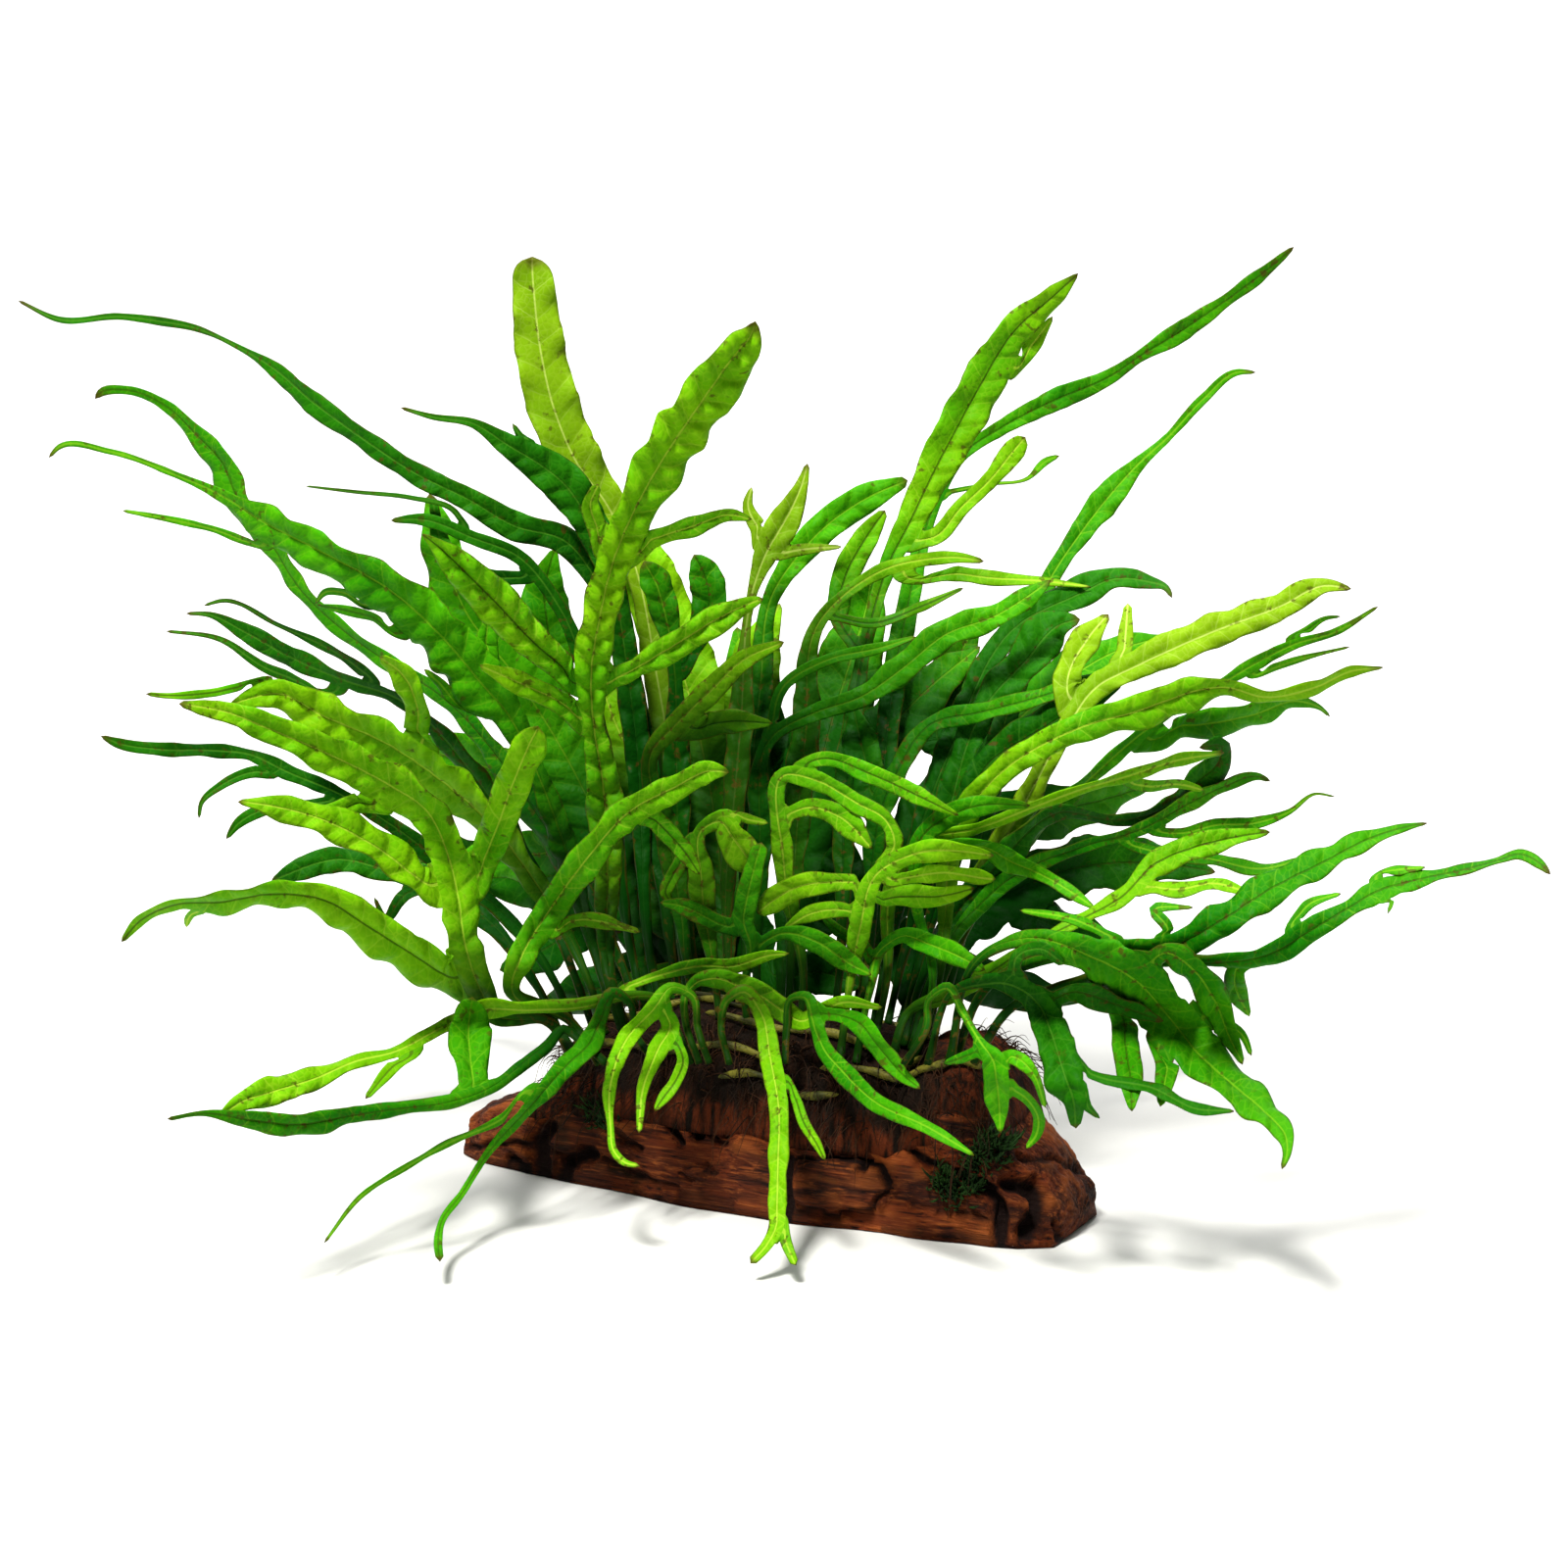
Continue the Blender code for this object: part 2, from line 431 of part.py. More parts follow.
         (636, 520, 5)),
        ((716, 836, 28), (664, 798, 54), (624, 728, 50), (604, 654, 5)),
        ((740, 985, 24), (700, 946, 46), (664, 900, 44), (640, 846, 5)),
        ((741, 1000, 20), (700, 1000, 34), (655, 1008, 30), (615, 1024, 5)),
        ((736, 800, 26), (768, 720, 44), (776, 660, 36), (796, 616, 5)),
    )),
    Frond("frond_back_crown", "mid", (
        ((800, 1010, 12), (822, 850, 50), (848, 740, 58), (872, 660, 50), (884, 620, 34),
         (890, 584, 5)),
        ((822, 830, 26), (784, 770, 48), (762, 700, 42), (752, 640, 5)),
        ((844, 800, 26), (900, 750, 46), (950, 700, 40), (1000, 660, 5)),
        ((804, 988, 24), (764, 960, 48), (748, 910, 48), (742, 860, 5)),
        ((801, 1000, 20), (832, 992, 40), (858, 998, 32), (878, 1008, 5)),
        ((806, 975, 22), (840, 943, 46), (858, 898, 44), (860, 844, 5)),
    )),
    Frond("frond_back_right", "mid", (
        ((880, 1010, 12), (942, 850, 58), (1004, 770, 58), (1080, 700, 46), (1140, 664, 28),
         (1190, 650, 4)),
        ((966, 840, 26), (1040, 830, 44), (1110, 820, 36), (1176, 800, 4)),
        ((984, 806, 28), (956, 752, 48), (972, 684, 38), (1000, 630, 5)),
    )),
    Frond("frond_back_low_left", "dark", (
        ((700, 1020, 12), (630, 930, 44), (550, 900, 50), (460, 880, 40), (410, 884, 4)),
        ((606, 932, 26), (560, 966, 44), (510, 990, 5)),
        ((690, 1000, 20), (720, 950, 48), (742, 900, 48), (756, 846, 5)),
        ((664, 975, 24), (632, 1000, 42), (590, 1016, 38), (546, 1030, 5)),
    )),
    Frond("frond_back_low_right", "dark", (
        ((930, 1020, 12), (1000, 930, 44), (1080, 890, 50), (1170, 880, 40), (1240, 890, 4)),
        ((1030, 924, 24), (1090, 950, 36), (1146, 964, 5)),
        ((940, 1004, 20), (902, 960, 54), (872, 910, 52), (856, 856, 5)),
        ((966, 975, 24), (1000, 1000, 40), (1050, 1013, 34), (1106, 1018, 5)),
    )),
)


# Colours and roughnesses by eye
WOOD_COLOUR = (0.16, 0.03, 0.01, 1)
WOOD_ROUGHNESS = 0.8
ROOTS_COLOUR = (0.03, 0.02, 0.01, 1)
ROOTS_ROUGHNESS = 0.9
LEAF_ROUGHNESS = 0.45
TONES = {
    "bright": (0.25, 0.48, 0.01, 1),
    "mid": (0.10, 0.34, 0.01, 1),
    "dark": (0.02, 0.16, 0.01, 1),
    "pale": (0.30, 0.48, 0.05, 1),
}


def material(name, colour, roughness):
    """A plain Principled material."""
    made = bpy.data.materials.new(name)
    made.use_nodes = True
    shader = made.node_tree.nodes["Principled BSDF"]
    shader.inputs["Base Color"].default_value = colour
    shader.inputs["Roughness"].default_value = roughness
    shader.inputs["Metallic"].default_value = 0.0
    return made


def add_object(name, vertices, faces, finish, smooth=False):
    """One closed solid as an object, with its faces turned outwards."""
    mesh = bpy.data.meshes.new(name)
    work = bmesh.new()
    corners = [work.verts.new(v) for v in vertices]
    for face in faces:
        work.faces.new([corners[i] for i in face])
    bmesh.ops.triangulate(work, faces=work.faces)
    bmesh.ops.recalc_face_normals(work, faces=work.faces)
    if work.calc_volume(signed=True) < 0:
        bmesh.ops.reverse_faces(work, faces=work.faces)
    work.to_mesh(mesh)
    work.free()
    mesh.materials.append(finish)
    if smooth:
        mesh.shade_smooth()
    made = bpy.data.objects.new(name, mesh)
    bpy.context.scene.collection.objects.link(made)
    return made


def sight_point(sight, y):
    """World points on the sight lines through (n, 2) view positions, where they cross depth y."""
    sight = np.asarray(sight, float)
    focal = VIEW_PIXELS * VIEW_DISTANCE / VIEW_WIDTH
    across = (sight[:, 0] - VIEW_PIXELS / 2) / focal
    down = (sight[:, 1] - VIEW_PIXELS / 2) / focal
    eye_y = -VIEW_DISTANCE * cos(VIEW_ELEVATION)
    eye_z = VIEW_HEIGHT + VIEW_DISTANCE * sin(VIEW_ELEVATION)
    ray_y = cos(VIEW_ELEVATION) - down * sin(VIEW_ELEVATION)
    ray_z = -sin(VIEW_ELEVATION) - down * cos(VIEW_ELEVATION)
    reach = (y - eye_y) / ray_y
    return np.stack([across * reach, eye_y + ray_y * reach, eye_z + ray_z * reach], axis=1)


def leaf_depth(sight, layer):
    """Depth y of leaf surface number layer at (n, 2) view positions.

    depth = crown half depth * (place + end spread * place^3) + opening * place * distance,
            where place runs from -1 in front to 1 behind
            - forward droop below the crown + a roll that grows with the distance and waves with
            the angle round the crown
            + the slant of the wood, which fades away from the crown
    """
    sight = np.asarray(sight, float)
    u = (sight[:, 0] - CROWN_SIGHT[0]) * PIXEL
    v = (CROWN_SIGHT[1] - sight[:, 1]) * PIXEL
    distance = np.hypot(u, v)
    angle = np.arctan2(v, u)
    place = 2 * layer / (len(FRONDS) - 1) - 1
    crown = CROWN_HALF_DEPTH * (place + END_SPREAD * place**3)
    fan = crown + OPENING * place * distance
    droop = FORWARD_DROOP * np.minimum(v, 0)
    swing = ROLL_SWING * np.sin(ROLL_SWING_WAVES * angle)
    wave = np.sin(ROLL_WAVES * angle + swing + ROLL_DRIFT * distance)
    roll = ROLL * distance**2 / (distance + ROLL_STARTS) * wave
    slant = u * tan(WOOD_TURN) * np.exp(-((distance / CROWN_REACH) ** 2))
    return fan + droop + roll + slant


def smooth_rib(points):
    """A rib's points joined by a cubic Hermite curve, whose slope at each point is the mean of the
    slopes beside it, weighted by the other side's length: (m, 3) of x, y, width, and the length at
    each."""
    p = np.array(points, float)
    gap = np.hypot(*np.diff(p[:, :2], axis=0).T)[:, None]
    slope = np.diff(p, axis=0) / gap
    inner = (slope[:-1] * gap[1:] + slope[1:] * gap[:-1]) / (gap[:-1] + gap[1:])
    slope = np.vstack([slope[:1], inner, slope[-1:]])
    t = np.linspace(0, 1, CURVE_STEPS, endpoint=False)[None, :, None]
    start, end = p[:-1, None], p[1:, None]
    leave, arrive = (slope[:-1] * gap)[:, None], (slope[1:] * gap)[:, None]
    runs = (start * (2 * t**3 - 3 * t**2 + 1) + leave * (t**3 - 2 * t**2 + t)
            + end * (3 * t**2 - 2 * t**3) + arrive * (t**3 - t**2))
    curve = np.vstack([runs.reshape(-1, 3), p[-1:]])
    curve[:, 2] = np.clip(curve[:, 2], p[:, 2].min(), p[:, 2].max())
    steps = np.hypot(*np.diff(curve[:, :2], axis=0).T)
    return curve, np.concatenate([[0], np.cumsum(steps)])


def rib_at(rib, where):
    """x, y, width and the unit direction of a smooth rib at given lengths."""
    curve, length = rib
    place = np.stack([np.interp(where, length, curve[:, k]) for k in range(3)], axis=1)
    ahead = np.stack([np.interp(where + DIRECTION_REACH, length, curve[:, k])
                      for k in range(2)], axis=1)
    behind = np.stack([np.interp(where - DIRECTION_REACH, length, curve[:, k])
                       for k in range(2)], axis=1)
    direction = ahead - behind
    return place, direction / np.hypot(*direction.T)[:, None]


class Lobe(NamedTuple):
    """Where a lobe leaves its rib: its number, the side (+1 left, -1 right), the place along the rib
    and the width of its root there, and the length of its own rib that the blade hides."""

    child: int
    side: int
    at: float
    width: float
    hidden: float


def hidden_length(rib, parent):
    """Length along a lobe's rib at which both its edges have left the parent's blade."""
    curve, length = rib
    place, direction = rib_at(rib, length)
    across = np.stack([-direction[:, 1], direction[:, 0]], axis=1) * place[:, 2:] / 2
    clear = np.full(len(curve), np.inf)
    for points in (place[:, :2], place[:, :2] + across, place[:, :2] - across):
        gaps = np.linalg.norm(points[:, None] - parent[0][None, :, :2], axis=2)
        nearest = gaps.argmin(axis=1)
        clear = np.minimum(clear, gaps.min(axis=1) - parent[0][nearest, 2] / 2)
    out = np.flatnonzero((clear > LOBE_CLEAR) | (length > LOBE_START * length[-1]))
    return length[out[0]]


def find_parents(ribs):
    """For each rib, the lobes that grow from it. A lobe's parent is the earlier rib nearest its base."""
    lobes = [[] for _ in ribs]
    for child in range(1, len(ribs)):
        base = ribs[child][0][0, :2]
        gaps = [np.hypot(*(ribs[k][0][:, :2] - base).T).min() for k in range(child)]
        parent = int(np.argmin(gaps))
        curve, length = ribs[parent]
        hidden = hidden_length(ribs[child], ribs[parent])
        emerges = rib_at(ribs[child], np.array([hidden]))[0][0]
        root = (base + emerges[:2]) / 2
        nearest = int(np.argmin(np.hypot(*(curve[:, :2] - root).T)))
        _, direction = rib_at(ribs[parent], length[nearest:nearest + 1])
        out = emerges[:2] - curve[nearest, :2]
        side = 1 if direction[0, 0] * out[1] - direction[0, 1] * out[0] > 0 else -1
        width = max(ribs[child][0][0, 2], LEAST_ROOT)
        lobes[parent].append(Lobe(child, side, length[nearest], width, hidden))
    return lobes


def base_slots(lobes, rib_length):
    """The stretches of a rib's edge that its lobes grow from: (start, end, {side: lobe})."""
    slots = []
    for lobe in sorted(lobes, key=lambda one: one.at):
        start, end = lobe.at - lobe.width / 2, lobe.at + lobe.width / 2
        shared = slots and start < slots[-1][1] - SLOT_SHARED * lobe.width
        if shared and lobe.side not in slots[-1][2]:
            slots[-1][2][lobe.side] = lobe
            continue
        if slots:
            start = max(start, slots[-1][1] + SLOT_GAP)
            end = max(end, start + LEAST_SLOT)
        slots.append([max(start, SLOT_GAP), end, {lobe.side: lobe}])
    over = slots[-1][1] - rib_length if slots else 0
    if over > 0:
        slots[-1][0] -= over
        slots[-1][1] -= over
    return slots


def stations(slots, knots, start, end):
    """Lengths along a rib where it has a section: the slots' ends, the rib's own points where they
    keep KNOT_GAP from those, and even steps of about STATION_STEP in the longer stretches."""
    fixed = {start, end, *(s[0] for s in slots), *(s[1] for s in slots)}
    for knot in knots:
        if not any(s[0] <= knot <= s[1] for s in slots):
            if start < knot < end and min(abs(knot - f) for f in fixed) > KNOT_GAP:
                fixed.add(knot)
    fixed = sorted(f for f in fixed if start <= f <= end)
    found = [fixed[0]]
    for first, last in zip(fixed, fixed[1:]):
        inside = any(s[0] <= first and last <= s[1] for s in slots)
        count = 1 if inside else max(1, round((last - first) * PIXEL / STATION_STEP))
        found += [first + (last - first) * (k + 1) / count for k in range(count)]
    return np.array(found)


def cross_sections(rib, where, layers, stalk):
    """Four corners of each lens-shaped section: left edge, upper middle, right edge, lower middle.
    layers holds the leaf surface's number at each section."""
    place, direction = rib_at(rib, where)
    across = np.stack([-direction[:, 1], direction[:, 0]], axis=1) * place[:, 2:] / 2
    middle = sight_point(place[:, :2], leaf_depth(place[:, :2], layers))
    left_sight, right_sight = place[:, :2] + across, place[:, :2] - across
    left = sight_point(left_sight, leaf_depth(left_sight, layers))
    right = sight_point(right_sight, leaf_depth(right_sight, layers))
    along = np.gradient(middle, axis=0) if len(middle) > 1 else np.array([[0, 0, 1.0]])
    up = np.cross(left - right, along)
    up /= np.linalg.norm(up, axis=1)[:, None]
    half = np.where(stalk, STALK_THICKNESS, BLADE_THICKNESS)[:, None] / 2
    return np.stack([left, middle + up * half, right, middle - up * half], axis=1), up


def grow_frond(frond, layer):
    """Vertices and faces of one frond: each rib is a lens-shaped strip that shares two edge corners
    and the new points between them with its parent, so the whole frond is one closed skin. A lobe
    bends off its parent's leaf surface by turns to the front and to the back, by LOBE_LIFT of the
    way to the next surface, so that lobes that overlap in the view lie apart."""
    ribs = [smooth_rib(points) for points in frond.ribs]
    lobes = find_parents(ribs)
    vertices, faces = [], []

    def keep(points):
        vertices.extend(map(tuple, points))
        return list(range(len(vertices) - len(points), len(vertices)))

    def skin(ring, following):
        for edge in (0, 2):
            for side in (1, -1):
                middle = (edge + side) % 4
                faces.append([ring[edge], ring[middle], following[middle]][::side])
                faces.append([ring[edge], following[middle], following[edge]][::side])

    def grow(number, base, begin, parent_lift):
        curve, length = ribs[number]
        slots = [s for s in base_slots(lobes[number], length[-1]) if s[1] > begin + SLOT_GAP]
        where = stations(slots, length[::CURVE_STEPS], begin, length[-1])
        stalk = curve[np.searchsorted(length, where).clip(0, len(curve) - 1), 2] < STALK_WIDTH
        turn = LOBE_LIFT * (1 if number % 2 else -1) * (number > 0)
        lift = parent_lift + (turn - parent_lift) * np.minimum(where / LIFT_REACH, 1)
        corners, up = cross_sections(ribs[number], where, layer + lift, stalk & (number == 0))
        rings = [keep(section) for section in corners]
        if number == 0:
            faces.append(rings[0][::-1])
        else:
            skin(base, rings[0])
        children = []
        for k, (ring, following) in enumerate(zip(rings, rings[1:])):
            held = next((s[2] for s in slots if s[0] == where[k] and s[1] == where[k + 1]), {})
            for side, edge, before in ((1, 0, 3), (-1, 2, 1)):
                after = (edge + 1) % 4
                if side in held:
                    middle = (corners[k, edge] + corners[k + 1, edge]) / 2
                    half = up[k] * BLADE_THICKNESS / 2
                    top, bottom = keep([middle + half, middle - half])
                    ring_top, ring_bottom = (after, before) if side == 1 else (before, after)
                    for point, far in ((top, ring_top), (bottom, ring_bottom)):
                        faces.append([point, ring[edge], ring[far]])
                        faces.append([point, ring[far], following[far]])
                        faces.append([point, following[far], following[edge]])
                    left, right = (ring, following) if side == 1 else (following, ring)
                    root = (left[edge], top, right[edge], bottom)
                    children.append((held[side], root, lift[k]))
                else:
                    faces.append([ring[before], ring[edge], following[before]])
                    faces.append([ring[edge], following[edge], following[before]])
                    faces.append([ring[edge], ring[after], following[after]])
                    faces.append([ring[edge], following[after], following[edge]])
        faces.append(rings[-1])
        for lobe, root, start_lift in children:
            grow(lobe.child, root, lobe.hidden, start_lift)

    grow(0, None, 0.0, 0.0)
    return vertices, faces


def rooted(frond, layer, ground):
    """The frond with its stalk run on towards the crown's foot until it nearly meets the roots."""
    x, y, width = frond.ribs[0][0]
    for part in np.linspace(0, 1, ROOT_TRIALS + 1)[1:]:
        sight = np.array([[x + (CROWN_FOOT[0] - x) * part * ROOT_LEAN,
                           y + (CROWN_FOOT[1] - y) * part]])
        point = sight_point(sight, leaf_depth(sight, layer))[0]
        if ground.find_nearest(point)[3] < ROOT_CLEARANCE:
            break
    root = (sight[0, 0], sight[0, 1], width)
    return frond._replace(ribs=((root, *frond.ribs[0]), *frond.ribs[1:]))


def build_fronds(ground):
    """Every frond, each in its own leaf surface."""
    finishes = {tone: material(f"leaf_{tone}", colour, LEAF_ROUGHNESS) for tone, colour in TONES.items()}
    for layer, frond in enumerate(FRONDS):
        vertices, faces = grow_frond(rooted(frond, layer, ground), layer)
        add_object(frond.name, vertices, faces, finishes[frond.tone])


def wood_rings():
    """(stations, points round, 3) of the wood: an arch over its flat foot, with worn grooves.

    An arch point at angle a from the front foot is (half width * cos(a)^level power,
    height * sin(a)^rise power), scaled by 1 + grooves that wave round and along the wood.
    """
    outline = np.array(WOOD_OUTLINE) / 1000
    along = np.linspace(WOOD_START, WOOD_END, WOOD_STATIONS)
    height = np.interp(along, outline[:, 0], outline[:, 1])[:, None]
    half_width = np.interp(along, outline[:, 0], outline[:, 2])[:, None]
    angle = np.linspace(0, pi, WOOD_ARC_POINTS)
    level = np.abs(np.cos(angle)) ** WOOD_LEVEL_POWER * np.sign(np.cos(angle))
    rise = np.sin(angle).clip(0) ** WOOD_RISE_POWER
    round_wave = np.sin(GROOVES_ROUND * angle + GROOVE_DRIFT * along[:, None])
    groove = 1 + GROOVE_DEPTH * round_wave * np.sin(GROOVE_FADE * along[:, None])
    across = -half_width * level * groove
    up = height * rise * groove
    along = np.broadcast_to(along[:, None], across.shape)
    c, s = cos(WOOD_TURN), sin(WOOD_TURN)
    return np.stack([along * c - across * s, along * s + across * c, up], axis=2)


def build_driftwood():
    """The wood: rings joined into a skin, with a flat end at each side."""
    rings = wood_rings()
    count, around = rings.shape[:2]
    faces = [list(range(around)), list(range((count - 1) * around, count * around))[::-1]]
    for i in range(count - 1):
        for j in range(around):
            k = (j + 1) % around
            faces.append([i * around + k, i * around + j, (i + 1) * around + j,
                          (i + 1) * around + k])
    finish = material("red_wood", WOOD_COLOUR, WOOD_ROUGHNESS)
    add_object("driftwood", rings.reshape(-1, 3), faces, finish, smooth=True)


def build_roots():
    """The mat of creeping stem and roots: it lies on the wood's arch and swells to a low crown.

    Its upper side stands over the wood by rim + thickness * sqrt((1 - p^2)(1 - q^2)), where p runs
    from -1 to 1 along the mat and q across it.
    """
    rings = wood_rings()
    along = np.linspace(WOOD_START, WOOD_END, WOOD_STATIONS)
    rows = np.flatnonzero(np.abs(along) <= ROOTS_HALF_LENGTH)
    columns = np.arange(ROOTS_ARC_MARGIN, WOOD_ARC_POINTS - ROOTS_ARC_MARGIN)
    under = rings[np.ix_(rows, columns)]
    p = np.linspace(-1, 1, len(rows))[:, None]
    q = np.linspace(-1, 1, len(columns))[None, :]
    swell = ROOTS_THICKNESS * np.sqrt((1 - p**2) * (1 - q**2))
    lower = under + np.array([0, 0, GAP])
    upper = lower + np.stack([np.zeros_like(swell), np.zeros_like(swell), swell + ROOTS_RIM], axis=2)
    n, m = len(rows), len(columns)
    faces = []
    for i in range(n - 1):
        for j in range(m - 1):
            quad = [i * m + j, i * m + j + 1, (i + 1) * m + j + 1, (i + 1) * m + j]
            faces.append(quad)
            faces.append([n * m + corner for corner in quad[::-1]])
    rim = [*range(m), *(i * m + m - 1 for i in range(1, n)), *((n - 1) * m + j
           for j in range(m - 2, -1, -1)), *(i * m for i in range(n - 2, 0, -1))]
    for a, b in zip(rim, rim[1:] + rim[:1]):
        faces.append([a, b, n * m + b, n * m + a])
    points = np.concatenate([lower.reshape(-1, 3), upper.reshape(-1, 3)])
    finish = material("roots", ROOTS_COLOUR, ROOTS_ROUGHNESS)
    made = add_object("rhizome_and_roots", points, faces, finish, smooth=True)
    return BVHTree.FromPolygons([v.co for v in made.data.vertices],
                                [tuple(f.vertices) for f in made.data.polygons])


def main():
    """Builds the whole plant."""
    for old in list(bpy.data.objects):
        bpy.data.objects.remove(old)
    build_driftwood()
    build_fronds(build_roots())


main()
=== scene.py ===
"""Java fern on driftwood: lobed fronds, root mat, root hairs, moss and worn red wood.

Frame: +X to the right, +Y away from the viewer, +Z up, origin on the wood's flat sawn underside.
A rib is a run of sight points, each its x, y and blade width, on a front view of 1600 pixels a side.
"""

import logging
from dataclasses import dataclass, field
from enum import Enum
from math import cos, pi, radians, sin, tan

import bpy
import numpy as np
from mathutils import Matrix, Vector
from mathutils.bvhtree import BVHTree


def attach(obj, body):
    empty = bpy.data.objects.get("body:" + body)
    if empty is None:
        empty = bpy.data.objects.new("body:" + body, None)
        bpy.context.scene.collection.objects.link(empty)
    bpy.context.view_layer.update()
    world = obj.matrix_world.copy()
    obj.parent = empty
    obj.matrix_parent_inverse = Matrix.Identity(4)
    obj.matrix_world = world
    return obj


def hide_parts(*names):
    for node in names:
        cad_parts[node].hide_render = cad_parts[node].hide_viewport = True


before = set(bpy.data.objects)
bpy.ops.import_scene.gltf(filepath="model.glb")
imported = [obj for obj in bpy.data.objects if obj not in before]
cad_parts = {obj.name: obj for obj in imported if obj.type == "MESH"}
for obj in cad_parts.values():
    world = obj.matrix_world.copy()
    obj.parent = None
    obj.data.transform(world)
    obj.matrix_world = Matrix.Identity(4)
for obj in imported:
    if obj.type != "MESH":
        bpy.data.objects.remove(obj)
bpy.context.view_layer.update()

Socket = bpy.types.NodeSocket
LOG = logging.getLogger("java_fern")
MILLIMETRE = 0.001
BODY = "root"
CELL_MIXERS = np.array([374761393, 668265263, 974634777])
SEED_MIXER = 1274126177
FIRST_MIXER = 1103515245
SECOND_MIXER = 12345701
WORD = 0xFFFFFFFF
HALF_WORD = 0xFFFF


class Tone(Enum):
    """The four greens that fronds come in. The bright and the dark tone are partly the fronds' own green and
    partly painted light: bright for lit fronds at the front, dark as painted shade for fronds inside the
    clump.
    """

    BRIGHT_LIT = "bright"
    MID = "mid"
    DARK = "dark"
    PALE = "pale"


class Side(Enum):
    """The side of a rib that a lobe grows from, looking from its base to its tip."""

    LEFT = 1
    RIGHT = -1


@dataclass(frozen=True)
class Frond:
    """One frond: its name after frond_, its tone, which is its own green with painted light on the bright
    tone and painted shade on the dark, and its ribs, the main one first. A rib is a flat run of x, y and
    width for each of its points, from base to tip."""

    name: str
    tone: Tone
    ribs: tuple


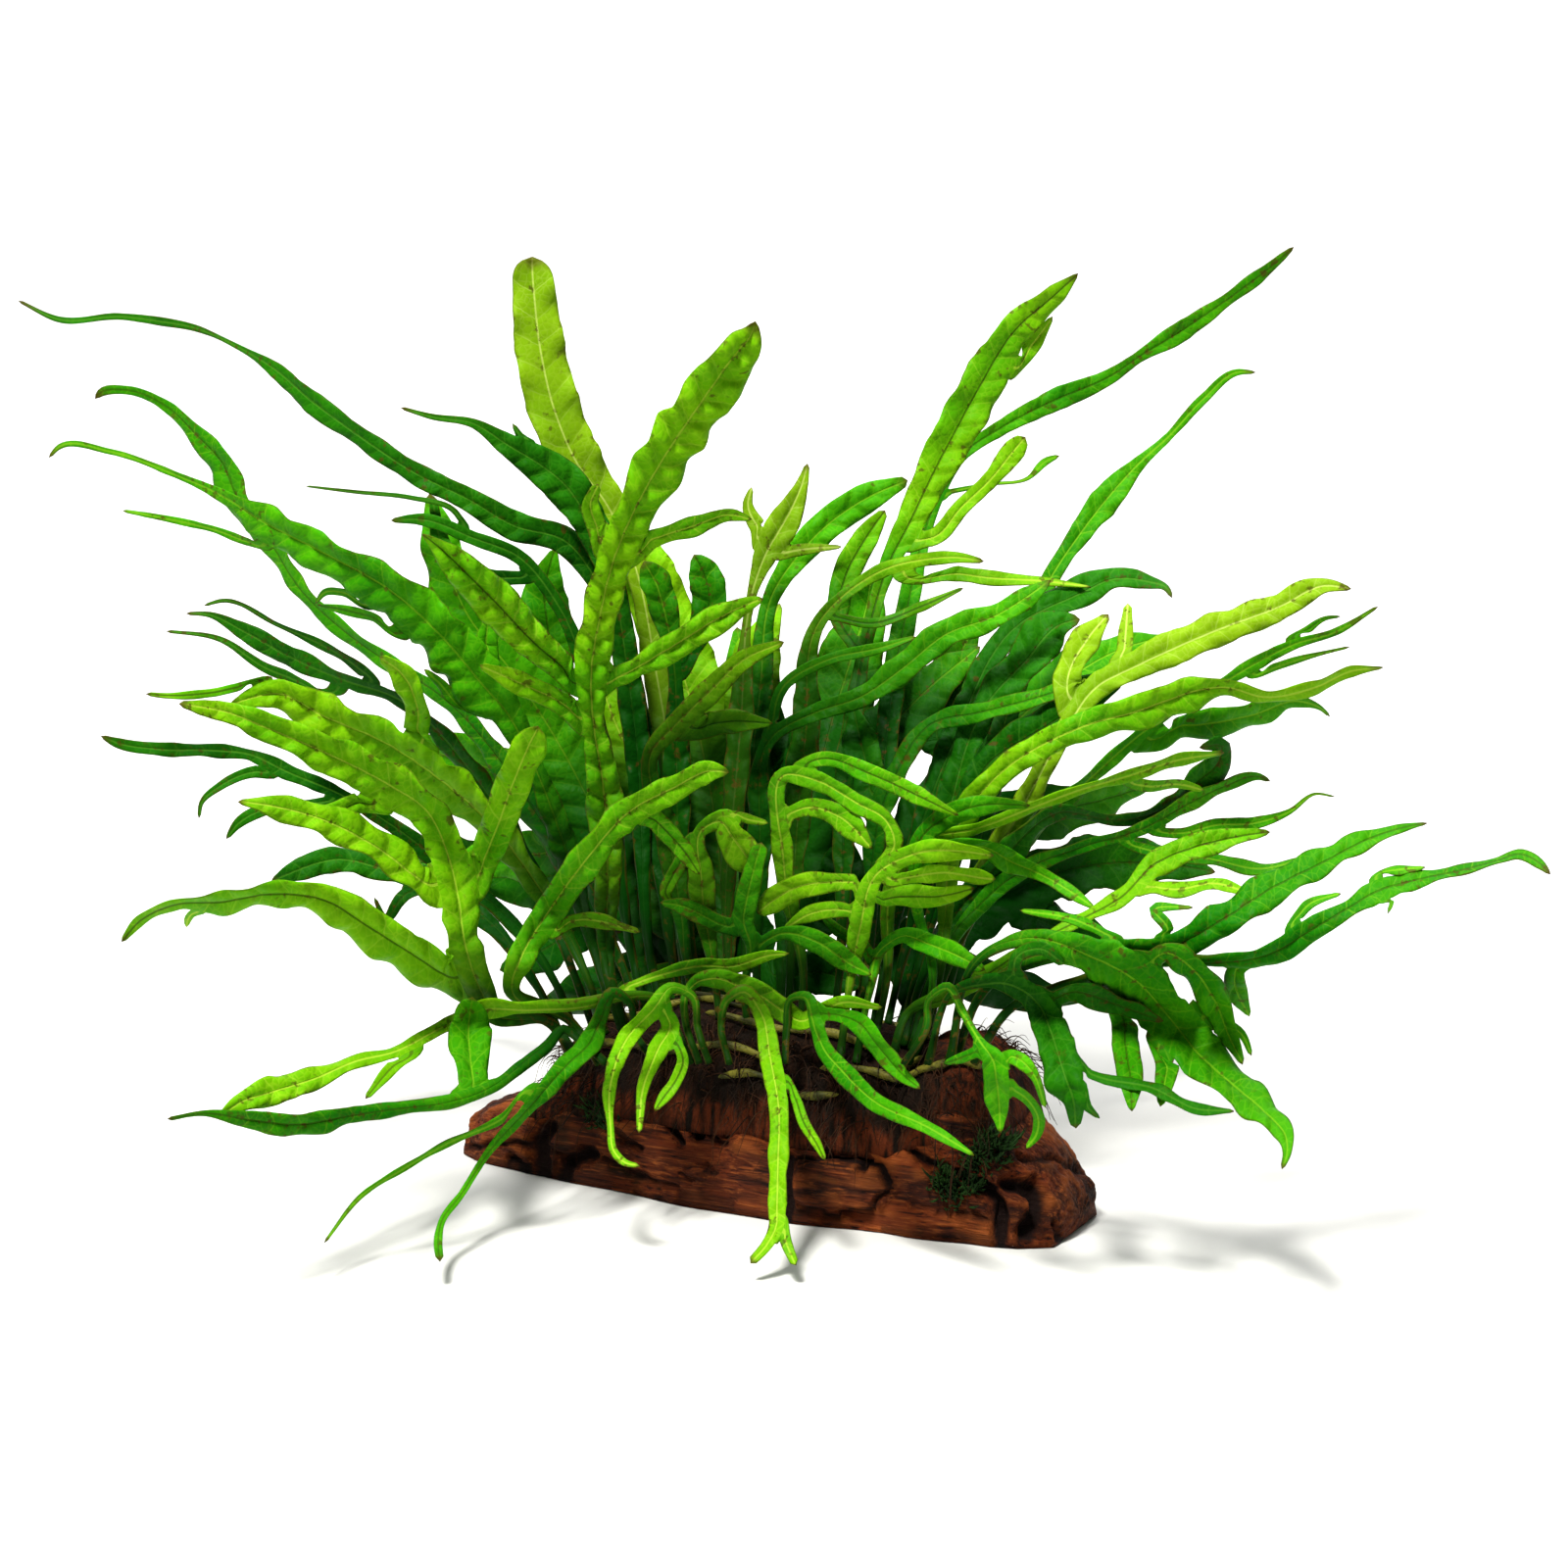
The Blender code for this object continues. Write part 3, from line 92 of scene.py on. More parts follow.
# Front to back. The order is the order of the leaf surfaces.
FRONDS = (
    Frond("hanging_fork", Tone.BRIGHT_LIT, (
        (736, 1048, 8, 742, 1020, 9, 758, 1010, 12, 775, 1030, 18, 786, 1079, 22, 795, 1133, 20,
         794, 1187, 20, 793, 1230, 18, 792, 1252, 16, 783, 1270, 12, 766, 1289, 8),
        (796, 1246, 14, 803, 1270, 12, 812, 1291, 8),
        (792, 1092, 8, 810, 1117, 10, 821, 1147, 12, 834, 1168, 10, 842, 1184, 4))),
    Frond("drooping_pair", Tone.BRIGHT_LIT, (
        (712, 1050, 8, 706, 1016, 9, 686, 1008, 13, 664, 1032, 18, 640, 1060, 20, 622, 1110, 14,
         623, 1150, 7, 627, 1176, 9, 638, 1187, 8, 653, 1190, 4),
        (676, 1028, 14, 684, 1046, 20, 671, 1072, 20, 657, 1106, 13, 652, 1156, 5),
        (690, 1062, 10, 697, 1082, 12, 690, 1102, 13, 676, 1122, 12, 668, 1134, 5))),
    Frond("three_lobed", Tone.MID, (
        (946, 1048, 7, 949, 1018, 7, 966, 1006, 8, 983, 1034, 8, 1002, 1066, 12, 1013, 1080, 22,
         1017, 1102, 28, 1020, 1125, 22, 1021, 1156, 4),
        (1000, 1072, 12, 985, 1078, 12, 963, 1085, 4),
        (1016, 1078, 12, 1038, 1080, 16, 1054, 1094, 13, 1067, 1130, 4),
        (1024, 1106, 10, 1049, 1122, 13, 1060, 1142, 13, 1058, 1157, 10, 1047, 1172, 4))),
    Frond("over_wood", Tone.MID, (
        (803, 1046, 7, 808, 1018, 7, 822, 1016, 9, 833, 1044, 13, 842, 1072, 18, 859, 1092, 20,
         894, 1125, 18, 944, 1149, 14, 994, 1179, 4),
        (834, 1034, 14, 856, 1036, 14, 878, 1045, 22, 894, 1064, 21, 925, 1100, 13, 939, 1111, 4))),
    Frond("zigzag", Tone.BRIGHT_LIT, (
        (700, 1044, 8, 700, 1014, 9, 712, 1000, 13, 732, 998, 20, 756, 1007, 26, 778, 1017, 27,
         799, 1031, 25, 818, 1042, 20, 837, 1033, 17, 858, 1023, 14, 900, 1028, 5),)),
    Frond("floor_left", Tone.MID, (
        (648, 1054, 8, 642, 1022, 8, 626, 1012, 11, 612, 1040, 16, 603, 1063, 25, 581, 1085, 22,
         541, 1128, 14, 498, 1176, 8, 472, 1217, 7, 450, 1249, 7, 447, 1270, 9, 449, 1287, 8),
        (572, 1090, 12, 549, 1109, 13, 514, 1140, 8, 455, 1167, 7, 412, 1192, 6, 369, 1220, 5,
         331, 1268, 3))),
    Frond("low_left", Tone.MID, (
        (588, 1058, 8, 576, 1050, 9, 558, 1068, 12, 530, 1090, 12, 510, 1105, 12, 466, 1122, 14,
         412, 1130, 14, 358, 1138, 18, 305, 1147, 22, 251, 1142, 18, 208, 1136, 6, 171, 1142, 4),
        (484, 1112, 26, 480, 1080, 40, 478, 1050, 44, 482, 1018, 26))),
    Frond("long_strip", Tone.BRIGHT_LIT, (
        (690, 1050, 8, 672, 1020, 9, 636, 1016, 10, 595, 1024, 12, 541, 1028, 12, 487, 1031, 20,
         445, 1052, 14, 402, 1074, 12, 364, 1083, 14, 321, 1101, 22, 272, 1116, 28, 245, 1125, 18,
         222, 1141, 5),
        (626, 1014, 10, 670, 996, 10, 718, 985, 16, 745, 986, 16, 788, 974, 10, 805, 973, 3),
        (440, 1052, 14, 420, 1070, 14, 396, 1094, 13, 373, 1121, 5))),
    Frond("pale_rib_low", Tone.DARK, (
        (975, 1010, 8, 1024, 1002, 18, 1060, 1025, 30, 1072, 1052, 38, 1086, 1096, 38, 1096, 1125, 24,
         1098, 1151, 6),
        (1034, 1000, 14, 1038, 976, 15, 1062, 968, 15, 1086, 984, 6),
        (1066, 1024, 18, 1093, 1012, 22, 1140, 1025, 22, 1187, 1042, 5),
        (1082, 1082, 10, 1123, 1100, 10, 1176, 1111, 12, 1220, 1132, 11, 1259, 1134, 4),
        (1096, 1108, 12, 1106, 1124, 12, 1122, 1141, 4))),
    Frond("drooping_right", Tone.MID, (
        (1000, 978, 9, 1057, 958, 18, 1112, 976, 42, 1160, 1002, 52, 1196, 1042, 56, 1222, 1074, 48,
         1255, 1104, 38, 1290, 1134, 28, 1312, 1161, 17, 1313, 1178, 9, 1308, 1193, 4),
        (1200, 1030, 20, 1240, 1046, 20, 1265, 1053, 11, 1277, 1077, 4),
        (1150, 1016, 24, 1148, 1060, 28, 1154, 1103, 26, 1155, 1134, 5),
        (1196, 1066, 18, 1192, 1086, 24, 1188, 1108, 20, 1184, 1129, 5),
        (1164, 990, 20, 1190, 972, 20, 1214, 986, 26, 1240, 1022, 30, 1256, 1062, 18, 1268, 1086, 5))),
    Frond("bright_left", Tone.BRIGHT_LIT, (
        (556, 1040, 12, 505, 1035, 22, 490, 1010, 30, 475, 965, 34, 467, 913, 38, 457, 872, 42,
         434, 826, 40, 400, 803, 42, 336, 770, 40, 270, 742, 30, 235, 728, 24, 183, 718, 6),
        (408, 806, 20, 375, 815, 24, 326, 833, 21, 303, 830, 5),
        (462, 910, 26, 439, 903, 30, 388, 867, 35, 336, 839, 34, 285, 824, 24, 243, 818, 4),
        (472, 904, 24, 485, 891, 27, 505, 850, 34, 521, 806, 37, 540, 760, 33, 549, 741, 18),
        (485, 1005, 28, 461, 998, 34, 418, 972, 39, 375, 945, 39, 332, 919, 34, 278, 912, 24, 224, 920, 21,
         181, 922, 10, 143, 939, 12, 124, 961, 4),
        (210, 922, 8, 192, 937, 9, 190, 946, 3))),
    Frond("bright_centre", Tone.BRIGHT_LIT, (
        (580, 1040, 10, 522, 1008, 18, 533, 974, 28, 564, 924, 32, 600, 875, 33, 644, 827, 30,
         687, 804, 27, 728, 786, 18, 744, 788, 5),
        (655, 824, 16, 682, 850, 21, 698, 868, 20, 714, 892, 5),
        (546, 962, 12, 566, 946, 14, 592, 938, 16, 614, 940, 14, 632, 945, 10, 653, 951, 4))),
    Frond("longest", Tone.MID, (
        (1030, 1030, 9, 1100, 1002, 12, 1195, 979, 12, 1236, 980, 12, 1298, 972, 22, 1335, 951, 24,
         1376, 927, 20, 1405, 910, 25, 1448, 898, 16, 1494, 888, 10, 1530, 878, 8, 1551, 872, 9,
         1572, 882, 9, 1582, 892, 3),
        (1312, 962, 10, 1335, 924, 10, 1368, 912, 5),
        (1262, 982, 14, 1260, 1002, 22, 1275, 1037, 5),
        (1404, 914, 6, 1420, 920, 5, 1416, 932, 3),
        (1396, 912, 8, 1413, 893, 11, 1454, 885, 4))),
    Frond("broad_right", Tone.MID, (
        (1006, 1008, 9, 1100, 970, 14, 1205, 962, 26, 1247, 939, 34, 1298, 906, 34, 1349, 881, 28,
         1401, 855, 17, 1444, 842, 5, 1456, 840, 3),
        (1150, 970, 12, 1131, 955, 10, 1100, 940, 11, 1041, 929, 4),
        (1186, 966, 10, 1192, 948, 12, 1178, 930, 11, 1217, 926, 4))),
    Frond("blunt_sheets", Tone.MID, (
        (760, 1004, 8, 767, 962, 14, 759, 940, 20, 762, 919, 22, 768, 893, 22, 777, 860, 16),
        (764, 950, 16, 733, 942, 19, 713, 932, 21, 695, 924, 17, 674, 921, 5),
        (768, 968, 12, 800, 952, 14, 836, 962, 24, 861, 979, 22, 889, 995, 5))),
    Frond("fan", Tone.BRIGHT_LIT, (
        (868, 1000, 9, 878, 946, 23, 894, 893, 18, 938, 870, 22, 989, 869, 17, 1014, 873, 4),
        (890, 900, 10, 920, 896, 13, 964, 890, 16, 1005, 896, 12, 1016, 897, 4),
        (884, 922, 12, 915, 915, 20, 960, 914, 22, 994, 906, 5),
        (886, 900, 12, 850, 900, 20, 817, 904, 26, 790, 918, 26, 773, 932, 12),
        (880, 932, 10, 856, 928, 17, 828, 932, 17, 800, 948, 5))),
    Frond("centre_droop", Tone.BRIGHT_LIT, (
        (730, 1000, 8, 716, 900, 28, 718, 845, 14, 735, 838, 22, 748, 855, 30, 760, 871, 33, 772, 887, 30),
        (730, 836, 8, 746, 830, 11, 764, 836, 11, 784, 840, 4),
        (714, 850, 12, 702, 870, 17, 685, 896, 15, 679, 911, 12, 685, 922, 5))),
    Frond("low_centre", Tone.MID, (
        (888, 1010, 8, 902, 966, 12, 922, 954, 16, 944, 962, 22, 985, 979, 18, 1005, 990, 5),
        (893, 986, 8, 878, 962, 14, 856, 950, 14, 838, 932, 4))),
    Frond("curled_centre", Tone.BRIGHT_LIT, (
        (820, 1000, 8, 800, 880, 20, 803, 790, 16, 833, 796, 20, 874, 819, 20, 906, 839, 18, 913, 862, 16,
         894, 886, 9),
        (812, 784, 12, 838, 774, 15, 889, 790, 20, 941, 814, 17, 978, 832, 4),
        (806, 830, 14, 823, 824, 17, 858, 834, 26, 880, 854, 18, 890, 866, 5))),
    Frond("mottled", Tone.BRIGHT_LIT, (
        (930, 1030, 9, 974, 1014, 18, 1018, 987, 16, 1063, 959, 9, 1101, 940, 12, 1147, 914, 18,
         1177, 883, 24, 1218, 865, 28, 1259, 855, 20, 1296, 849, 4),
        (1160, 902, 14, 1200, 908, 15, 1240, 902, 13, 1280, 914, 4))),
    Frond("green_strip", Tone.MID, (
        (952, 1000, 8, 934, 910, 13, 940, 856, 18, 984, 826, 24, 1024, 820, 14, 1051, 822, 4),
        (928, 884, 12, 965, 866, 16, 1007, 865, 20, 1030, 878, 22, 1064, 893, 14, 1094, 911, 13,
         1117, 927, 4))),
    Frond("bullate", Tone.BRIGHT_LIT, (
        (622, 1000, 14, 620, 900, 27, 618, 827, 38, 613, 786, 34, 606, 745, 22, 603, 690, 34, 613, 625, 36,
         624, 578, 36, 649, 517, 42, 672, 476, 52, 718, 407, 50, 749, 363, 43, 765, 343, 26, 771, 328, 5),
        (622, 562, 18, 608, 535, 20, 602, 515, 19, 610, 494, 8),
        (632, 562, 18, 659, 552, 20, 706, 537, 20, 747, 525, 12, 767, 530, 4),
        (600, 708, 20, 585, 691, 25, 544, 655, 35, 508, 617, 43, 475, 584, 38, 442, 553, 13, 431, 545, 3),
        (606, 703, 16, 646, 683, 20, 690, 657, 30, 731, 632, 29, 769, 614, 12, 779, 611, 4),
        (602, 742, 18, 574, 718, 24, 533, 698, 24, 490, 679, 8))),
    Frond("tongue", Tone.BRIGHT_LIT, (
        (905, 1000, 8, 912, 900, 17, 938, 860, 12, 997, 845, 12, 1053, 824, 12, 1101, 806, 10,
         1152, 791, 12, 1203, 775, 12, 1249, 768, 5),
        (1140, 794, 8, 1171, 802, 12, 1204, 800, 10, 1228, 806, 4))),
    Frond("broad_left", Tone.BRIGHT_LIT, (
        (600, 1000, 8, 540, 890, 25, 500, 840, 34, 452, 798, 44, 395, 759, 45, 326, 729, 42, 285, 708, 31,
         254, 713, 19, 234, 720, 4),
        (430, 780, 20, 424, 762, 25, 427, 728, 24, 411, 688, 22, 388, 670, 10),
        (300, 716, 10, 259, 700, 9, 216, 707, 9, 167, 710, 6, 149, 708, 3))),
    Frond("right_blade", Tone.BRIGHT_LIT, (
        (958, 1000, 8, 985, 830, 28, 1028, 783, 25, 1080, 752, 28, 1118, 737, 30, 1157, 727, 33,
         1193, 714, 35, 1224, 704, 29, 1249, 701, 18, 1290, 711, 14, 1342, 701, 14, 1380, 684, 10,
         1411, 681, 3),)),
    Frond("mid_bright", Tone.BRIGHT_LIT, (
        (704, 1000, 8, 684, 860, 27, 666, 765, 18, 690, 739, 22, 726, 704, 25, 759, 673, 20, 800, 655, 6),
        (684, 752, 14, 712, 742, 24, 745, 736, 26, 788, 738, 5))),
    Frond("dark_left", Tone.DARK, (
        (565, 1000, 8, 450, 880, 21, 347, 811, 13, 293, 788, 17, 254, 770, 13, 213, 766, 14, 162, 765, 14,
         116, 757, 9, 103, 751, 3),
        (282, 786, 12, 250, 790, 11, 225, 802, 9, 205, 820, 5, 203, 835, 3),
        (346, 816, 10, 310, 822, 12, 270, 826, 13, 241, 842, 10, 231, 856, 3))),
    Frond("whisker_right", Tone.MID, (
        (950, 1000, 8, 1040, 890, 19, 1110, 862, 12, 1167, 845, 13, 1208, 822, 16, 1249, 802, 13,
         1285, 792, 7, 1296, 797, 3),
        (1172, 848, 10, 1206, 850, 11, 1240, 842, 14, 1280, 840, 13, 1316, 828, 6, 1342, 810, 3,
         1362, 813, 2),
        (1140, 858, 10, 1190, 872, 12, 1234, 877, 14, 1285, 887, 12, 1336, 875, 4))),
    Frond("curled_right", Tone.DARK, (
        (940, 1000, 8, 1020, 880, 28, 1080, 829, 15, 1142, 837, 11, 1190, 824, 18, 1224, 796, 27,
         1244, 776, 27, 1246, 761, 18, 1224, 763, 4),)),
    Frond("many_lobed_left", Tone.MID, (
        (615, 1000, 8, 575, 860, 27, 540, 770, 20, 515, 724, 36, 497, 704, 50, 451, 650, 52, 400, 604, 48,
         326, 562, 36, 264, 530, 33, 231, 508, 14, 174, 482, 7, 113, 461, 6, 59, 457, 5, 50, 467, 3),
        (296, 554, 10, 272, 556, 9, 215, 539, 7, 174, 530, 7, 125, 521, 3),
        (446, 652, 12, 400, 635, 11, 346, 621, 8, 324, 617, 3),
        (484, 690, 20, 494, 662, 28, 498, 632, 8),
        (500, 740, 14, 470, 722, 13, 448, 696, 11, 433, 683, 3),
        (404, 616, 10, 374, 612, 11, 350, 604, 9, 332, 604, 7, 322, 616, 3))),
    Frond("rising_centre", Tone.MID, (
        (772, 1000, 8, 775, 860, 26, 790, 750, 14, 833, 727, 18, 879, 711, 22, 920, 683, 28, 966, 647, 30,
         1015, 629, 26, 1053, 606, 18, 1072, 592, 4),
        (786, 770, 10, 800, 700, 12, 843, 674, 12, 899, 661, 11, 935, 650, 4))),
    Frond("left_cluster", Tone.DARK, (
        (588, 1000, 8, 490, 800, 23, 405, 712, 12, 349, 693, 14, 290, 667, 22, 249, 644, 17, 213, 627, 6,
         190, 626, 3),
        (392, 702, 10, 347, 668, 10, 283, 637, 5, 226, 613, 4, 208, 618, 3),
        (400, 716, 10, 342, 702, 12, 272, 682, 11, 224, 652, 6, 170, 644, 3))),
    Frond("thin_right", Tone.MID, (
        (962, 1000, 8, 1050, 850, 20, 1110, 796, 14, 1150, 760, 14, 1200, 722, 11, 1247, 697, 10,
         1280, 677, 14, 1321, 657, 10, 1362, 645, 8, 1406, 619, 3),
        (1306, 664, 8, 1331, 645, 8, 1352, 631, 5, 1368, 629, 2),
        (1256, 694, 8, 1285, 686, 9, 1331, 671, 6, 1377, 660, 2),
        (1132, 772, 14, 1183, 742, 25, 1229, 739, 28, 1280, 729, 26, 1324, 715, 13, 1347, 722, 5,
         1357, 731, 3))),
    Frond("yellow_right", Tone.PALE, (
        (945, 1000, 8, 1040, 830, 27, 1090, 740, 20, 1118, 702, 26, 1157, 681, 28, 1195, 663, 35,
         1244, 642, 33, 1306, 619, 30, 1352, 598, 16, 1379, 601, 3),
        (1146, 686, 14, 1148, 657, 16, 1151, 616, 8),
        (1092, 734, 20, 1090, 690, 28, 1110, 652, 28, 1131, 627, 8))),
    Frond("strip_right", Tone.MID, (
        (884, 1000, 8, 910, 800, 23, 951, 739, 18, 1002, 727, 20, 1053, 714, 18, 1120, 693, 15,
         1175, 685, 3),
        (902, 846, 20, 890, 800, 32, 878, 756, 34, 870, 716, 5))),
    Frond("shaded", Tone.DARK, (
        (934, 1000, 8, 978, 850, 25, 1010, 778, 30, 1053, 750, 37, 1105, 719, 28, 1145, 697, 5),)),
    Frond("pale_rib_high", Tone.DARK, (
        (916, 1000, 8, 962, 850, 28, 1010, 714, 30, 1048, 673, 41, 1079, 639, 33, 1102, 632, 6),)),
    Frond("level_strips", Tone.BRIGHT_LIT, (
        (806, 1000, 8, 822, 750, 30, 838, 632, 14, 872, 599, 12, 903, 581, 15, 944, 571, 14, 975, 569, 13,
         1004, 573, 4),
        (868, 604, 10, 903, 597, 14, 959, 585, 16, 1011, 590, 15, 1062, 593, 9, 1113, 599, 2),
        (846, 628, 8, 890, 636, 10, 940, 619, 10, 983, 600, 3))),
    Frond("hooked_dark", Tone.DARK, (
        (900, 1000, 8, 972, 760, 26, 1040, 637, 27, 1100, 607, 32, 1138, 591, 25, 1172, 594, 13,
         1190, 600, 7, 1196, 610, 3),)),
    Frond("behind_left", Tone.DARK, (
        (548, 1006, 8, 450, 905, 25, 388, 886, 24, 347, 877, 26, 298, 890, 20, 277, 899, 4),
        (430, 900, 12, 408, 918, 13, 394, 938, 9, 382, 916, 3))),
    Frond("short_pair", Tone.MID, (
        (700, 1000, 8, 690, 760, 28, 688, 680, 14, 677, 620, 30, 668, 592, 32, 657, 573, 8),
        (692, 690, 10, 712, 650, 24, 724, 612, 38, 716, 580, 30, 708, 566, 8))),
    Frond("hand", Tone.PALE, (
        (744, 1000, 8, 756, 740, 27, 772, 590, 14, 783, 562, 26, 796, 540, 32, 810, 514, 24, 819, 492, 12,
         824, 473, 5),
        (788, 552, 18, 771, 534, 18, 763, 516, 11, 767, 497, 4),
        (790, 566, 12, 817, 561, 12, 859, 558, 3))),
    Frond("tall_right", Tone.BRIGHT_LIT, (
        (856, 1000, 8, 864, 800, 26, 885, 650, 14, 909, 571, 19, 929, 532, 28, 952, 484, 38, 975, 440, 44,
         1000, 394, 44, 1036, 337, 33, 1075, 302, 22, 1100, 279, 3),
        (1006, 390, 14, 1034, 372, 18, 1056, 348, 17, 1074, 323, 4),
        (925, 552, 16, 954, 548, 18, 980, 519, 17, 1011, 489, 18, 1036, 458, 23, 1046, 446, 12),
        (880, 668, 12, 856, 630, 18, 862, 590, 28, 883, 550, 26, 903, 521, 8))),
    Frond("shaded_left", Tone.DARK, (
        (650, 1000, 8, 610, 740, 18, 566, 612, 14, 529, 568, 15, 483, 549, 14, 431, 530, 13, 399, 531, 4),
        (540, 590, 12, 480, 584, 20, 454, 560, 19, 441, 506, 7),
        (480, 548, 7, 462, 520, 6, 420, 508, 5, 364, 502, 4, 312, 496, 2))),
    Frond("broad_dark", Tone.DARK, (
        (668, 1000, 8, 645, 720, 28, 618, 574, 28, 600, 530, 36, 575, 493, 42, 554, 476, 38, 518, 454, 24,
         483, 432, 10, 440, 425, 6, 409, 416, 3),
        (540, 466, 10, 532, 448, 9, 523, 432, 3))),
    Frond("longest_left", Tone.DARK, (
        (690, 1000, 8, 655, 760, 27, 615, 604, 20, 575, 551, 29, 526, 537, 29, 477, 509, 24, 426, 484, 22,
         364, 443, 20, 318, 409, 22, 280, 376, 14, 241, 353, 5, 200, 335, 7, 164, 328, 9, 123, 323, 7,
         60, 326, 6, 19, 307, 3),)),
    Frond("arching_right", Tone.MID, (
        (970, 1000, 8, 1030, 720, 26, 1070, 594, 18, 1100, 548, 22, 1138, 499, 28, 1162, 473, 14,
         1190, 448, 9, 1228, 407, 11, 1262, 380, 7, 1281, 380, 3),)),
    Frond("arc_behind", Tone.MID, (
        (762, 1000, 8, 776, 700, 25, 790, 603, 18, 811, 571, 26, 836, 543, 32, 883, 509, 33, 926, 490, 8),)),
    Frond("tall_blunt", Tone.PALE, (
        (710, 1000, 8, 672, 700, 28, 640, 556, 26, 620, 516, 38, 588, 471, 50, 566, 419, 54, 552, 360, 52,
         545, 300, 44, 543, 272, 32, 543, 262, 14),)),
    Frond("curved_left", Tone.MID, (
        (640, 1000, 8, 560, 850, 27, 450, 710, 16, 385, 668, 16, 352, 644, 16, 305, 599, 15, 277, 555, 20,
         244, 512, 25, 226, 471, 27, 200, 443, 18, 172, 416, 11, 128, 398, 9, 103, 401, 8, 97, 407, 3),)),
    Frond("longest_high", Tone.MID, (
        (882, 1000, 8, 922, 640, 25, 956, 510, 12, 980, 466, 13, 1021, 437, 16, 1075, 409, 23,
         1133, 384, 16, 1164, 363, 12, 1197, 343, 21, 1249, 308, 14, 1292, 276, 12, 1320, 252, 3),
        (958, 504, 6, 1010, 494, 4, 1049, 488, 4, 1067, 471, 8, 1081, 465, 3))),
    Frond("back_left", Tone.MID, (
        (660, 1010, 12, 602, 820, 54, 526, 690, 56, 474, 622, 44, 454, 570, 34, 446, 534, 26, 438, 504, 5),
        (580, 800, 26, 520, 790, 44, 450, 770, 40, 380, 764, 5),
        (548, 720, 26, 560, 660, 44, 556, 600, 34, 566, 560, 5),
        (610, 856, 24, 560, 870, 40, 500, 876, 34, 440, 900, 4))),
    Frond("back_high", Tone.BRIGHT_LIT, (
        (742, 1010, 12, 730, 840, 58, 706, 720, 64, 674, 620, 52, 650, 560, 36, 636, 520, 5),
        (716, 836, 28, 664, 798, 54, 624, 728, 50, 604, 654, 5),
        (740, 985, 24, 700, 946, 46, 664, 900, 44, 640, 846, 5),
        (741, 1000, 20, 700, 1000, 34, 655, 1008, 30, 615, 1024, 5),
        (736, 800, 26, 768, 720, 44, 776, 660, 36, 796, 616, 5))),
    Frond("back_crown", Tone.MID, (
        (800, 1010, 12, 822, 850, 50, 848, 740, 58, 872, 660, 50, 884, 620, 34, 890, 584, 5),
        (822, 830, 26, 784, 770, 48, 762, 700, 42, 752, 640, 5),
        (844, 800, 26, 900, 750, 46, 950, 700, 40, 1000, 660, 5),
        (804, 988, 24, 764, 960, 48, 748, 910, 48, 742, 860, 5),
        (801, 1000, 20, 832, 992, 40, 858, 998, 32, 878, 1008, 5),
        (806, 975, 22, 840, 943, 46, 858, 898, 44, 860, 844, 5))),
    Frond("back_right", Tone.MID, (
        (880, 1010, 12, 942, 850, 58, 1004, 770, 58, 1080, 700, 46, 1140, 664, 28, 1190, 650, 4),
        (966, 840, 26, 1040, 830, 44, 1110, 820, 36, 1176, 800, 4),
        (984, 806, 28, 956, 752, 48, 972, 684, 38, 1000, 630, 5))),
    Frond("back_low_left", Tone.DARK, (
        (700, 1020, 12, 630, 930, 44, 550, 900, 50, 460, 880, 40, 410, 884, 4),
        (606, 932, 26, 560, 966, 44, 510, 990, 5),
        (690, 1000, 20, 720, 950, 48, 742, 900, 48, 756, 846, 5),
        (664, 975, 24, 632, 1000, 42, 590, 1016, 38, 546, 1030, 5))),
    Frond("back_low_right", Tone.DARK, (
        (930, 1020, 12, 1000, 930, 44, 1080, 890, 50, 1170, 880, 40, 1240, 890, 4),
        (1030, 924, 24, 1090, 950, 36, 1146, 964, 5),
        (940, 1004, 20, 902, 960, 54, 872, 910, 52, 856, 856, 5),
        (966, 975, 24, 1000, 1000, 40, 1050, 1013, 34, 1106, 1018, 5))),
)


def smoothstep(value: np.ndarray) -> np.ndarray:
    """Eases an array from 0 to 1: 3x^2 - 2x^3 of its values held between 0 and 1."""
    x = np.clip(value, 0.0, 1.0)
    return x * x * (3 - 2 * x)


def lattice(cell: np.ndarray, seed: int) -> np.ndarray:
    """A repeatable number from -1 to 1 for each whole cell: its indices and the seed times large odd
    numbers, summed, and the sum's bits mixed twice.

    Args:
        cell: (..., 3) whole numbers.
        seed: Picks one of many patterns.

    Returns:
        (...) values.
    """
    mixed = (cell.astype(np.int64) @ CELL_MIXERS + seed * SEED_MIXER) & WORD
    mixed = ((mixed ^ (mixed >> 13)) * FIRST_MIXER) & WORD
    mixed = ((mixed ^ (mixed >> 15)) * SECOND_MIXER) & WORD
    return ((mixed ^ (mixed >> 16)) & HALF_WORD) / (HALF_WORD / 2) - 1


def value_noise(points: np.ndarray, seed: int) -> np.ndarray:
    """Smooth noise: lattice values at a cell's eight corners, blended with an eased weight.

    Args:
        points: (..., 3) positions, one unit a cell.
        seed: Picks one of many patterns.

    Returns:
        (...) values from -1 to 1.
    """
    cell = np.floor(points)
    weight = smoothstep(points - cell)
    total = np.zeros(points.shape[:-1])
    for corner in np.ndindex(2, 2, 2):
        step = np.array(corner)
        share = np.where(step == 1, weight, 1 - weight).prod(axis=-1)
        total += share * lattice(cell + step, seed)
    return total


def layered_noise(points: np.ndarray, octaves: int, seed: int) -> np.ndarray:
    """Noise summed over octaves, each twice as fine and half as strong as the one before.

    Args:
        points: (..., 3) positions, one unit a coarse cell.
        octaves: How many layers.
        seed: Picks one of many patterns.

    Returns:
        (...) values, about -1 to 1.
    """
    total = np.zeros(points.shape[:-1])
    for octave in range(octaves):
        total += value_noise(points * 2**octave, seed + octave) / 2**octave
    return total / 1.6


